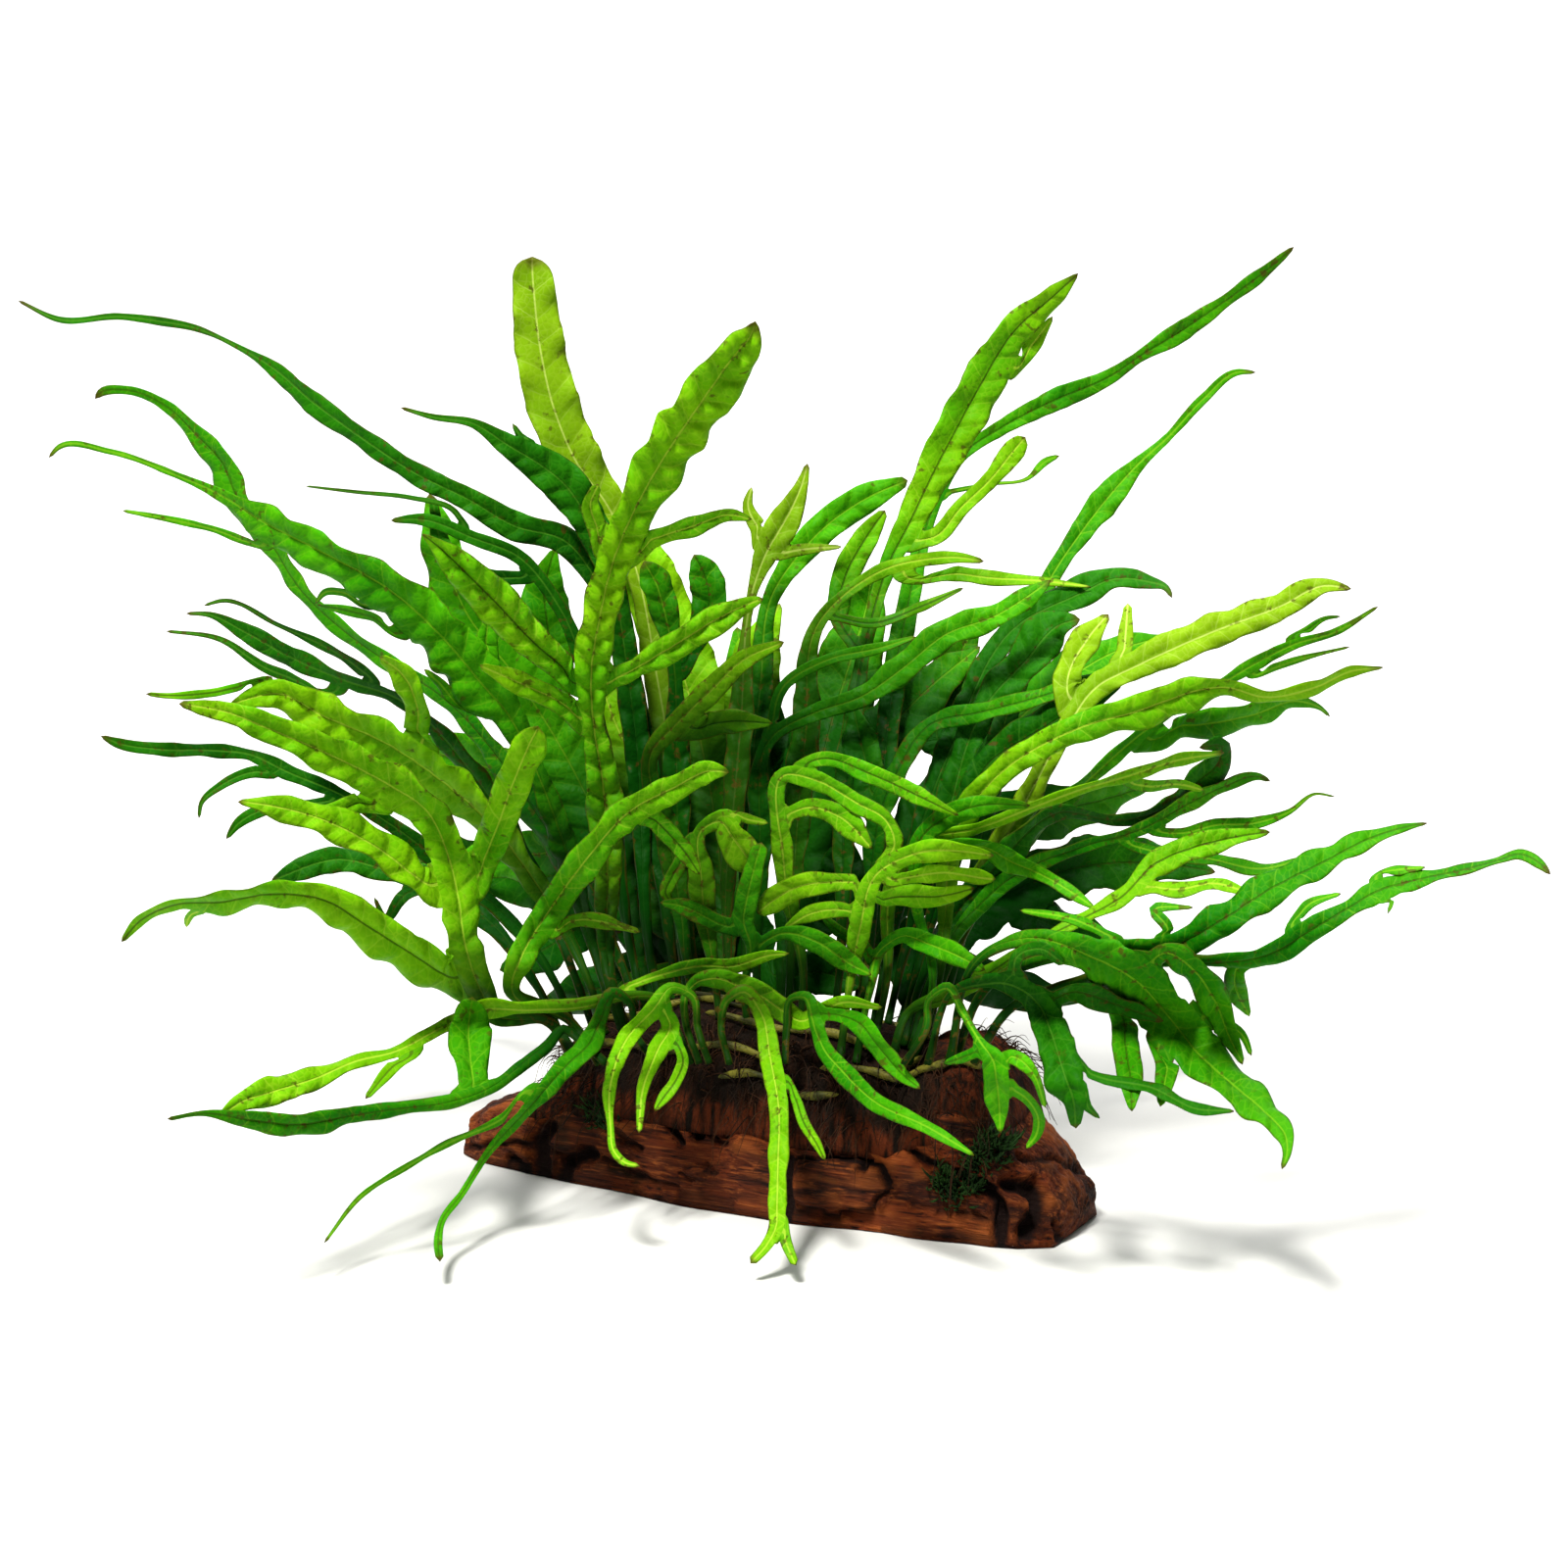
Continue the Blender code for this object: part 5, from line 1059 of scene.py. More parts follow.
@dataclass
class Graph:
    """A node tree with short ways to add nodes to it."""

    tree: bpy.types.NodeTree

    def feed(self, socket: Socket, value: object) -> None:
        """Links a socket into another, or sets it where the value is plain.

        Args:
            socket: The input.
            value: An output socket, a number, a colour, or None to leave it alone.
        """
        if isinstance(value, Socket):
            self.tree.links.new(value, socket)
        elif value is not None:
            socket.default_value = value

    def add(self, kind: str, inputs: dict, output: object = 0, **settings: object) -> Socket:
        """A new node with its properties set and its inputs fed.

        Args:
            kind: The name of the node type, after ShaderNode.
            inputs: Values by the input's name or number.
            output: The name or number of the output wanted.
            settings: Properties to set.

        Returns:
            The output.
        """
        made = self.tree.nodes.new(f"ShaderNode{kind}")
        for key, value in settings.items():
            setattr(made, key, value)
        for socket, value in inputs.items():
            self.feed(made.inputs[socket], value)
        return made.outputs[output]

    def math(self, operation: str, first: object, second: object = None,
             clamp: bool = False) -> Socket:
        """The result of one sum, by its operation; clamp holds it between 0 and 1."""
        return self.add("Math", {0: first, 1: second}, operation=operation, use_clamp=clamp)

    def times(self, first: object, second: object) -> Socket:
        """The product of two values."""
        return self.math("MULTIPLY", first, second)

    def plus(self, first: object, second: object) -> Socket:
        """The sum of two values."""
        return self.math("ADD", first, second)

    def most(self, first: object, second: object) -> Socket:
        """The greater of two values."""
        return self.math("MAXIMUM", first, second)

    def split(self, vector: object) -> tuple:
        """The x, y and z of a vector."""
        return tuple(self.add("SeparateXYZ", {0: vector}).node.outputs)

    def band(self, value: object, low: object, high: object, from_low: float = 0.0,
             to_high: float = 1.0) -> Socket:
        """Eases from one result, where the value is at low, to another, where it is at high."""
        return self.add("MapRange", {0: value, 1: low, 2: high, 3: from_low, 4: to_high},
                        interpolation_type="SMOOTHSTEP")

    def mix(self, share: object, first: object, second: object) -> Socket:
        """Two colours mixed, with a share of the second."""
        return self.add("Mix", {0: share, 6: first, 7: second}, 2, data_type="RGBA")

    def layered(self, colour: object, *layers: tuple) -> Socket:
        """A colour with others laid over it.

        Args:
            colour: The lowest colour.
            layers: Pairs of share and colour, the lower first.

        Returns:
            The colour output.
        """
        for share, over in layers:
            colour = self.mix(share, colour, over)
        return colour

    def noise(self, vector: object, scale: object, detail: float = 3.0,
              roughness: float = 0.55) -> Socket:
        """Noise on a position, with scale cells in its unit and detail octaves."""
        return self.add("TexNoise", {"Vector": vector, "Scale": scale, "Detail": detail,
                                     "Roughness": roughness})

    def stretched(self, vector: object, scale: tuple, turn: float = 0.0) -> Socket:
        """A position turned about Z, in radians, and then scaled along x, y and z."""
        turned = self.add("Mapping", {"Vector": vector, "Rotation": (0, 0, turn)})
        return self.add("Mapping", {"Vector": turned, "Scale": scale})

    def position(self) -> Socket:
        """The place on the object."""
        return self.add("TexCoord", {}, "Object")

    def map(self, name: str) -> Socket:
        """One of the piece's UV maps."""
        return self.add("UVMap", {}, uv_map=name)

    def finish(self, colour: object, roughness: object, specular: float, height: object,
               strength: float, distance: float) -> None:
        """Feeds the Principled shader, with a bump for its normal.

        Args:
            colour: Its base colour.
            roughness: Its roughness.
            specular: Its specular level, the same all over.
            height: The bump's height, 0 to 1.
            strength: How strong the bump is.
            distance: The height of 1 in metres.
        """
        inputs = self.tree.nodes["Principled BSDF"].inputs
        bump = self.add("Bump", {"Height": height, "Strength": strength, "Distance": distance})
        for title, value in (("Base Color", colour), ("Roughness", roughness), ("Normal", bump),
                             ("Specular IOR Level", specular)):
            self.feed(inputs[title], value)


def new_material(name: str) -> tuple[bpy.types.Material, Graph]:
    """A material with its graph.

    Args:
        name: Its name.

    Returns:
        The material and the graph.
    """
    made = bpy.data.materials.new(name)
    made.use_nodes = True
    return made, Graph(made.node_tree)


def new_group(name: str, inputs: dict, outputs: dict) -> tuple:
    """A shader node group with named sockets.

    Args:
        name: Its name.
        inputs: Socket types by name, after NodeSocket.
        outputs: The same for its outputs.

    Returns:
        The group, its graph, its entry's outputs and its exit's inputs.
    """
    made = bpy.data.node_groups.new(name, "ShaderNodeTree")
    for way, sockets in (("INPUT", inputs), ("OUTPUT", outputs)):
        for title, kind in sockets.items():
            made.interface.new_socket(name=title, in_out=way, socket_type=f"NodeSocket{kind}")
    entry, leave = made.nodes.new("NodeGroupInput"), made.nodes.new("NodeGroupOutput")
    return made, Graph(made), entry.outputs, leave.inputs


@dataclass(frozen=True)
class VeinPattern:
    """The veins of a blade as a node group: a midrib line, side veins at an angle, a net between.
    The spacing is in millimetres, the slope in millimetres along for one across."""

    spacing: float = 6.2
    slope: float = 0.75
    net: float = 0.62

    def build(self) -> bpy.types.NodeTree:
        """The group, from the Blade map in millimetres to the masks Midrib, Side, Net and Height."""
        made, graph, given, wanted = new_group(
            "blade_veins", {"Blade": "Vector"},
            {"Midrib": "Float", "Side": "Float", "Net": "Float", "Height": "Float"})
        across, along, _ = graph.split(given["Blade"])
        off = graph.math("ABSOLUTE", across)
        warp = graph.times(graph.noise(given["Blade"], 0.22, 2.0), 1.6)
        midrib = graph.band(off, 0.14, 0.30, 1.0, 0.0)
        along = graph.plus(graph.math("SUBTRACT", along, graph.times(off, self.slope)), warp)
        spot = graph.math("PINGPONG", along, self.spacing / 2)
        side = graph.times(graph.band(spot, 0.08, 0.26, 1.0, 0.0),
                           graph.band(off, 4.2, 9.0, 1.0, 0.25))
        gap = graph.add("TexVoronoi", {"Vector": given["Blade"], "Scale": self.net}, "Distance",
                        feature="DISTANCE_TO_EDGE")
        net = graph.band(gap, 0.02, 0.10, 1.0, 0.0)
        quilt = graph.band(gap, 0.0, 0.45, 0.0, 0.16)
        swell = graph.band(spot, 0.0, self.spacing / 3, 0.0, 0.7)
        height = graph.math("SUBTRACT", graph.plus(quilt, swell), graph.times(midrib, 0.5))
        for title, value in (("Midrib", midrib), ("Side", side), ("Net", net),
                             ("Height", height)):
            graph.feed(wanted[title], value)
        return made


@dataclass(frozen=True)
class BlotchPattern:
    """Irregular patches as a node group: noise on a position, cut off softly between two levels."""

    detail: float = 4.0
    roughness: float = 0.5

    def build(self) -> bpy.types.NodeTree:
        """The group, from Vector, Scale, Low and High to the mask."""
        made, graph, given, wanted = new_group(
            "blotches", {"Vector": "Vector", "Scale": "Float", "Low": "Float", "High": "Float"},
            {"Mask": "Float"})
        noise = graph.noise(given["Vector"], given["Scale"], self.detail, self.roughness)
        graph.feed(wanted["Mask"], graph.band(noise, given["Low"], given["High"]))
        return made


@dataclass
class Effects:
    """The shader groups that several finishes share."""

    veins: bpy.types.NodeTree
    blotches: bpy.types.NodeTree

    def blotch(self, graph: Graph, vector: object, scale: float, low: float,
               high: float) -> Socket:
        """The mask of patches, which start at the noise level low and are full at high."""
        return graph.add("Group", {"Vector": vector, "Scale": scale, "Low": low, "High": high},
                         node_tree=self.blotches)


@dataclass(frozen=True)
class LeafFinish:
    """A frond's green: its light and deep colour, its vein colour, its stalk, darker in its own colour and
    deepened by painted shade, a painted shade colour for the inside of the clump and the low part of each
    rib, and its brown tip.
    """

    tone: Tone
    light: tuple
    deep: tuple
    vein: tuple
    speck: float = 0.62
    # stalk: the stalk's own darker colour, made darker still as painted shade near the crown.
    stalk: tuple = (0.003, 0.020, 0.0010, 1)
    # shade: painted shade, laid inside the clump and low on each rib.
    shade: tuple = (0.001, 0.029, 0.0010, 1)
    burnt: tuple = (0.050, 0.032, 0.004, 1)
    seam: tuple = (0.022, 0.040, 0.002, 1)
    seamed_from: float = 0.70
    # crown, flat and inner: the centre of the painted shade inside the clump, its squash along y, and its
    # strength.
    crown: tuple = (0.0, 0.056, 0.055)
    flat: float = 1.7
    inner: float = 0.94
    relief: float = 0.6
    relief_height: float = 0.0009
    rib: float = 0.5
    specular: float = 0.025

    def build(self, effects: Effects) -> bpy.types.Material:
        """The material: greens mottled by soft noise, darker between the veins, pale midrib and side
        veins, painted shade inside the clump and over the lower half of each rib, a dark stalk at the base,
        its own colour deepened by painted shade, a brown tip and small dark specks.

        Args:
            effects: The shared groups.

        Returns:
            The material.
        """
        made, graph = new_material(f"fern_{self.tone.value}")
        blade, position = graph.map("Blade"), graph.position()
        travelled, own, _ = graph.split(graph.map("Place"))
        from_margin, half_width, _ = graph.split(graph.map("Rim"))
        from_midrib = graph.math("ABSOLUTE", graph.split(blade)[0])
        veins = graph.add("Group", {"Blade": blade}, node_tree=effects.veins).node.outputs
        soft = graph.band(graph.noise(position, 34), 0.30, 0.70)
        mottle = graph.math("ADD", graph.times(soft, 0.75), graph.times(own, 0.35), clamp=True)
        between = graph.times(graph.math("SUBTRACT", 1.0, veins["Net"]), 0.18)
        lines = graph.most(graph.times(veins["Side"], 0.34), graph.times(veins["Net"], 0.13))
        lines = graph.times(lines, graph.band(graph.noise(position, 60), 0.35, 0.65, 0.35, 1.0))
        seamed = graph.band(own, self.seamed_from, self.seamed_from + 0.02)
        # Painted shade: darker inside the clump, by the distance from a point behind the crown, and over the
        # lower half of each rib.
        reach = graph.add("VectorMath", {0: graph.stretched(position, (1.0, self.flat, 1.0)),
                                         1: self.crown}, "Value", operation="DISTANCE")
        reach = graph.plus(reach, graph.times(graph.noise(position, 26), 0.03))
        inside = graph.times(graph.band(reach, 0.075, 0.125, 1.0, 0.0), self.inner)
        low = graph.band(travelled, 0.08, 0.50, 0.92, 0.0)
        spots = graph.times(effects.blotch(graph, position, 330, self.speck, self.speck + 0.07),
                            effects.blotch(graph, position, 24, 0.48, 0.60))
        beside = graph.most(graph.band(from_midrib, 0.3, 1.3, 1.0, 0.0),
                            graph.band(from_margin, 0.2, 1.1, 1.0, 0.0))
        dots = graph.times(effects.blotch(graph, position, 620, 0.57, 0.62), beside)
        dots = graph.times(dots, effects.blotch(graph, position, 38, 0.46, 0.56))
        edge = graph.times(graph.band(from_margin, 0.06, 0.30, 0.55, 0.0),
                           effects.blotch(graph, position, 42, 0.42, 0.54))
        tip = graph.plus(travelled, graph.times(graph.noise(position, 400), 0.02))
        colour = graph.layered(
            self.light,
            (mottle, self.deep),
            (graph.band(travelled, 0.55, 1.0, 0.0, 0.35), self.light),
            (between, self.deep),
            (lines, self.vein),
            (graph.times(veins["Midrib"], self.rib), graph.mix(seamed, self.vein, self.seam)),
            # Painted shade inside the clump and low on each rib.
            (graph.most(inside, low), self.shade),
            # The stalk's own dark colour, deepened as painted shade at the base.
            (graph.band(travelled, 0.03, 0.20, 0.92, 0.0), self.stalk),
            (graph.times(graph.most(spots, dots), 0.75), self.burnt),
            (edge, self.burnt),
            (graph.band(tip, 0.985, 1.012, 0.0, 0.9), self.burnt))
        rough = graph.band(graph.noise(position, 180), 0.3, 0.7, 0.42, 0.60)
        height = graph.times(veins["Height"], graph.band(half_width, 0.8, 2.6))
        graph.finish(colour, rough, self.specular, height, self.relief, self.relief_height)
        return made


@dataclass(frozen=True)
class WoodFinish:
    """Red-brown sodden wood: streaks along the grain, black painted shade in its cracks and grooves, and
    paler on its raised ridges, partly from wear and partly as a painted highlight.
    """

    turn: float = radians(26)
    pale: tuple = (0.350, 0.086, 0.014, 1)
    body: tuple = (0.155, 0.026, 0.004, 1)
    dark: tuple = (0.008, 0.0022, 0.0012, 1)
    green: tuple = (0.012, 0.022, 0.004, 1)
    specular: float = 0.12
    relief_height: float = 0.0024

    def build(self, effects: Effects) -> bpy.types.Material:
        """The material, with its grain from noise stretched along the wood.

        Args:
            effects: The shared groups.

        Returns:
            The material.
        """
        made, graph = new_material("red_driftwood")
        position = graph.position()
        # The map holds painted shade for the cracks and grooves, and the raised ridges, paler partly from
        # wear and partly as a painted highlight.
        crack, ridge, _ = graph.split(graph.map("WearAndPaintedLight"))
        grain = graph.noise(graph.stretched(position, (70, 1300, 1300), self.turn), 1.0, 6.0, 0.66)
        coarse = graph.noise(graph.stretched(position, (16, 170, 170), self.turn), 1.0, 4.0)
        patch = effects.blotch(graph, position, 46, 0.56, 0.66)
        moss = effects.blotch(graph, position, 70, 0.60, 0.70)
        colour = graph.layered(
            self.dark,
            (graph.band(coarse, 0.32, 0.68), self.body),
            (graph.band(grain, 0.50, 0.72, 0.0, 0.75), self.pale),
            (graph.band(grain, 0.48, 0.36, 0.0, 0.9), self.dark),
            # Raised ridges paler: wear together with a painted highlight.
            (graph.times(ridge, 0.6), self.pale),
            (graph.times(patch, 0.45), self.dark),
            (graph.times(moss, 0.35), self.green),
            # Painted shade: black in the cracks and grooves.
            (crack, self.dark))
        graph.finish(colour, graph.band(grain, 0.3, 0.7, 0.8, 0.6), self.specular,
                     graph.plus(graph.times(grain, 0.7), coarse), 1.0, self.relief_height)
        return made


@dataclass(frozen=True)
class FibreFinish:
    """A finish of roots, rhizome or moss: two colours mixed by noise, with a bump, and painted shade in the
    bump's hollows.
    """

    name: str
    first: tuple
    second: tuple
    scale: float
    roughness: float
    height: float
    # gap: painted shade laid in the bump's hollows.
    gap: tuple = (0.004, 0.003, 0.001, 1)
    specular: float = 0.1

    def build(self, effects: Effects) -> bpy.types.Material:
        """The material.

        Args:
            effects: The shared groups.

        Returns:
            The material.
        """
        made, graph = new_material(self.name)
        position = graph.position()
        fine = graph.noise(position, self.scale * 7, 4.0, 0.6)
        patch = effects.blotch(graph, position, self.scale, 0.36, 0.64)
        # The gap colour is painted shade where the bump is lowest.
        colour = graph.layered(self.first, (patch, self.second),
                               (graph.band(fine, 0.5, 0.3, 0.0, 0.6), self.gap))
        graph.finish(colour, graph.band(fine, 0.3, 0.7, self.roughness, self.roughness - 0.2),
                     self.specular, fine, 0.8, self.height)
        return made


@dataclass(frozen=True)
class MatFinish:
    """The root mat: black-brown and matted on top, red and cracked like the wood at its foot and
    where it runs out to the right."""

    black: tuple = (0.006, 0.0035, 0.002, 1)
    brown: tuple = (0.016, 0.006, 0.0025, 1)
    red: tuple = (0.090, 0.018, 0.005, 1)
    runs_out: tuple = (0.040, 0.056)
    foot: tuple = (0.039, 0.032)
    waver: float = 0.02
    specular: float = 0.06
    relief_height: float = 0.0022

    def build(self, effects: Effects) -> bpy.types.Material:
        """The material: its two looks mixed by place and noise, with a bump of upright strands.

        Args:
            effects: The shared groups.

        Returns:
            The material.
        """
        made, graph = new_material("root_mat")
        position = graph.position()
        x, _, z = graph.split(position)
        strands = graph.noise(graph.stretched(position, (520, 520, 90)), 1.0, 5.0, 0.62)
        fine = graph.noise(position, 1100, 3.0, 0.6)
        waver = graph.times(graph.noise(position, 90), self.waver)
        matted = graph.mix(graph.band(strands, 0.40, 0.66), self.black, self.brown)
        wooden = graph.mix(graph.band(strands, 0.36, 0.60), self.black, self.red)
        bare = graph.most(graph.band(graph.plus(x, waver), *self.runs_out),
                          graph.band(graph.plus(z, waver), *self.foot))
        patch = effects.blotch(graph, position, 60, 0.50, 0.62)
        colour = graph.layered(matted, (bare, wooden), (graph.times(patch, 0.7), self.black))
        graph.finish(colour, graph.band(fine, 0.3, 0.7, 0.9, 0.7), self.specular,
                     graph.plus(strands, graph.times(fine, 0.3)), 1.0, self.relief_height)
        return made


@dataclass
class Plant:
    """All the fronds, each a closed skin that stands for its plain solid."""

    effects: Effects
    ground: BVHTree
    quilts: tuple = (("bullate", 2.4), ("broad_left", 1.6), ("mottled", 1.5), ("tall_blunt", 0.2),
                     ("tall_right", 0.5), ("longest_left", 0.5), ("longest_high", 0.6))
    rear_breadth: float = 1.2
    root_lean: float = 0.15
    root_trials: int = 100
    root_clearance: float = 0.0004

    def finishes(self) -> dict:
        """The four leaf materials by tone."""
        looks = (
            # The bright tone's greens stand partly for painted light, the dark tone's greens partly for
            # painted shade.
            LeafFinish(Tone.BRIGHT_LIT, (0.180, 0.415, 0.0015, 1), (0.032, 0.235, 0.0010, 1),
                       (0.330, 0.500, 0.030, 1), rib=0.7),
            LeafFinish(Tone.MID, (0.054, 0.300, 0.0010, 1), (0.006, 0.122, 0.0010, 1),
                       (0.180, 0.390, 0.012, 1)),
            LeafFinish(Tone.DARK, (0.016, 0.150, 0.0015, 1), (0.002, 0.044, 0.0010, 1),
                       (0.060, 0.200, 0.012, 1)),
            LeafFinish(Tone.PALE, (0.200, 0.350, 0.004, 1), (0.120, 0.275, 0.003, 1),
                       (0.400, 0.520, 0.090, 1), relief=0.3, seamed_from=2.0, rib=0.8),
        )
        return {look.tone: look.build(self.effects) for look in looks}

    def rooted(self, frond: Frond, layer: int) -> Frond:
        """The frond with its stalk run on towards the crown's foot until it meets the roots.

        Args:
            frond: The frond as read from the view.
            layer: The number of its leaf surface.

        Returns:
            The frond with one more point at its base.
        """
        x, y, width = frond.ribs[0][:3]
        foot = SURFACES.crown_foot
        for part in np.linspace(0, 1, self.root_trials + 1)[1:]:
            sight = np.array([x + (foot[0] - x) * part * self.root_lean, y + (foot[1] - y) * part])
            point = VIEW.point(sight, SURFACES.depth(sight, np.float64(layer)))
            if self.ground.find_nearest(Vector(point))[3] < self.root_clearance:
                break
        main = (float(sight[0]), float(sight[1]), width, *frond.ribs[0])
        return Frond(frond.name, frond.tone, (main, *frond.ribs[1:]))

    def build(self) -> None:
        """Builds each frond's skin and lets it stand for the frond's solid."""
        finishes = self.finishes()
        quilts = dict(self.quilts)
        for layer, frond in enumerate(FRONDS):
            rear = frond.name.startswith("back_")
            sheet = BladeSheet(self.rooted(frond, layer), layer, layer + 1,
                               quilts.get(frond.name, 1.0), self.rear_breadth if rear else 1.0)
            sheet.grow()
            vertices, faces, maps = sheet.skin()
            node = f"frond_{frond.name}"
            hand_in(add_mesh(f"{node}_blade", vertices, faces, finishes[frond.tone], maps),
                    node)


@dataclass(frozen=True)
class Crack:
    """A black crack, seen from the front: its line on the view, its half width and its depth."""

    line: tuple
    half_width: float
    depth: float


@dataclass
class Driftwood:
    """The worn red wood: an arch over a flat foot, with grain, cracks, a raised plank and a knot.
    The outline is rows of place along it, height and half width in millimetres."""

    effects: Effects
    start: float = -0.08125
    end: float = 0.075
    turn: float = radians(-26)
    stations: int = 361
    arc_points: int = 141
    foot_points: int = 24
    end_rings: int = 9
    end_bulge: float = 0.0015
    end_centre: float = 0.42
    grain_cells: tuple = (85.0, 620.0, 620.0)
    grain_height: float = 0.00045
    ridge_cells: tuple = (34.0, 260.0, 260.0)
    ridge_depth: float = 0.0011
    lump_cells: float = 95.0
    lump_height: float = 0.0010
    waver_cells: float = 260
    waver_reach: float = 4.5
    outline: tuple = (
        (-82, 8, 10), (-75, 13, 14), (-68, 16, 16), (-60, 19, 18), (-50, 24, 19), (-30, 27, 22),
        (0, 28, 24),
        (25, 26, 23), (36, 25, 22), (42, 31, 22), (49, 34, 21), (56, 31, 20), (62, 22, 20),
        (68, 18, 18), (75, 10, 13),
    )
    cracks: tuple = (
        Crack(((556, 1146), (546, 1166), (548, 1186), (556, 1214)), 8, 0.0045),
        Crack(((596, 1178), (576, 1188), (572, 1216)), 9, 0.0045),
        Crack(((520, 1186), (534, 1190), (536, 1206)), 5, 0.0030),
        Crack(((1000, 1210), (1018, 1226), (1022, 1266)), 7, 0.0045),
        Crack(((1030, 1206), (1058, 1214), (1062, 1234), (1046, 1262)), 8, 0.0045),
        Crack(((1078, 1250), (1082, 1268)), 4, 0.0030),
        Crack(((1090, 1160), (1104, 1176), (1110, 1196)), 3, 0.0020),
        Crack(((803, 1178), (804, 1206), (800, 1244)), 6, 0.0036),
        Crack(((864, 1164), (884, 1184), (880, 1192)), 5, 0.0036),
        Crack(((700, 1128), (706, 1146), (712, 1158)), 5, 0.0030),
        Crack(((724, 1118), (734, 1140), (742, 1156)), 4, 0.0030),
        Crack(((676, 1136), (684, 1152), (694, 1164)), 4, 0.0026),
        Crack(((480, 1170), (520, 1166), (566, 1176), (600, 1184)), 3, 0.0016),
        Crack(((612, 1180), (660, 1206), (720, 1222), (790, 1240)), 3, 0.0014),
        Crack(((808, 1182), (850, 1180), (896, 1190), (906, 1206)), 3, 0.0020),
        Crack(((808, 1236), (850, 1240), (890, 1232), (906, 1212)), 3, 0.0018),
        Crack(((912, 1160), (950, 1186), (986, 1204), (1016, 1212)), 4, 0.0020),
        Crack(((930, 1228), (980, 1240), (1016, 1244)), 3, 0.0014),
        Crack(((660, 1128), (700, 1142), (740, 1166)), 3, 0.0016),
        Crack(((700, 1118), (736, 1130), (766, 1152)), 3, 0.0016),
        Crack(((1000, 1120), (1010, 1150), (1006, 1186)), 3, 0.0018),
        Crack(((1040, 1176), (1076, 1184), (1108, 1196)), 3, 0.0015),
        Crack(((820, 1116), (846, 1134), (858, 1148)), 13, 0.0050),
        Crack(((590, 1128), (616, 1148), (650, 1170)), 3, 0.0015),
        Crack(((700, 1190), (720, 1188), (726, 1198), (704, 1204), (694, 1196)), 3, 0.0012),
    )

    def place(self, along: np.ndarray, across: np.ndarray, up: np.ndarray) -> np.ndarray:
        """(..., 3) world positions from distances along the wood, across it and up."""
        c, s = cos(self.turn), sin(self.turn)
        return np.stack([along * c - across * s, along * s + across * c, up], axis=-1)

    def arch(self, along: np.ndarray, angle: np.ndarray) -> tuple[np.ndarray, np.ndarray]:
        """The arch: (half width * cos(a)^0.8, height * sin(a)^0.6), times 1 + grooves that wave round
        and along the wood.

        Args:
            along: (n) distances along it.
            angle: (m) angles from the front foot.

        Returns:
            (n, m) distances across and up.
        """
        shape = np.array(self.outline) / 1000
        height = np.interp(along, shape[:, 0], shape[:, 1])[:, None]
        half_width = np.interp(along, shape[:, 0], shape[:, 2])[:, None]
        level = np.abs(np.cos(angle)) ** 0.8 * np.sign(np.cos(angle))
        rise = np.sin(angle).clip(0) ** 0.6
        groove = 1 + 0.05 * np.sin(5 * angle + 60 * along[:, None]) * np.sin(140 * along[:, None])
        return -half_width * level * groove, height * rise * groove

    def wear_and_painted_light(self, points: np.ndarray, facing: np.ndarray) -> tuple[np.ndarray, np.ndarray]:
        """How deep the cracks and cavity are at points that face the viewer, and how much painted shade
        blackens them.

        Each crack's depth is its own times 1 - (d / 1.5 half widths)^2, down to 0, where d is the
        distance on the view to its line, wavered by noise.

        Args:
            points: (..., 3) positions.
            facing: (...) 1 where the surface faces the viewer, 0 behind.

        Returns:
            Depths in metres, and the share that is painted black as shade.
        """
        sight = VIEW.sight(points)
        waver = np.stack([value_noise(points * self.waver_cells, seed) for seed in (41, 43)], axis=-1)
        sight = sight + self.waver_reach * waver
        depth = np.zeros(points.shape[:-1])
        black = np.zeros(points.shape[:-1])
        for crack in self.cracks:
            line = np.array(crack.line, float)
            nearest = np.full(points.shape[:-1], np.inf)
            for a, b in zip(line[:-1], line[1:]):
                ab = b - a
                share = np.clip(((sight - a) @ ab) / (ab @ ab), 0, 1)
                gap = np.linalg.norm(sight - a - share[..., None] * ab, axis=-1)
                nearest = np.minimum(nearest, gap)
            inside = np.clip(1 - (nearest / (1.5 * crack.half_width)) ** 2, 0, 1) * facing
            depth = np.maximum(depth, inside * crack.depth)
            # Painted shade: the crack's core goes black.
            core = smoothstep((1.3 - nearest / crack.half_width) / 0.5) * facing
            black = np.maximum(black, core * min(1.0, crack.depth / 0.0020))
        return depth, black

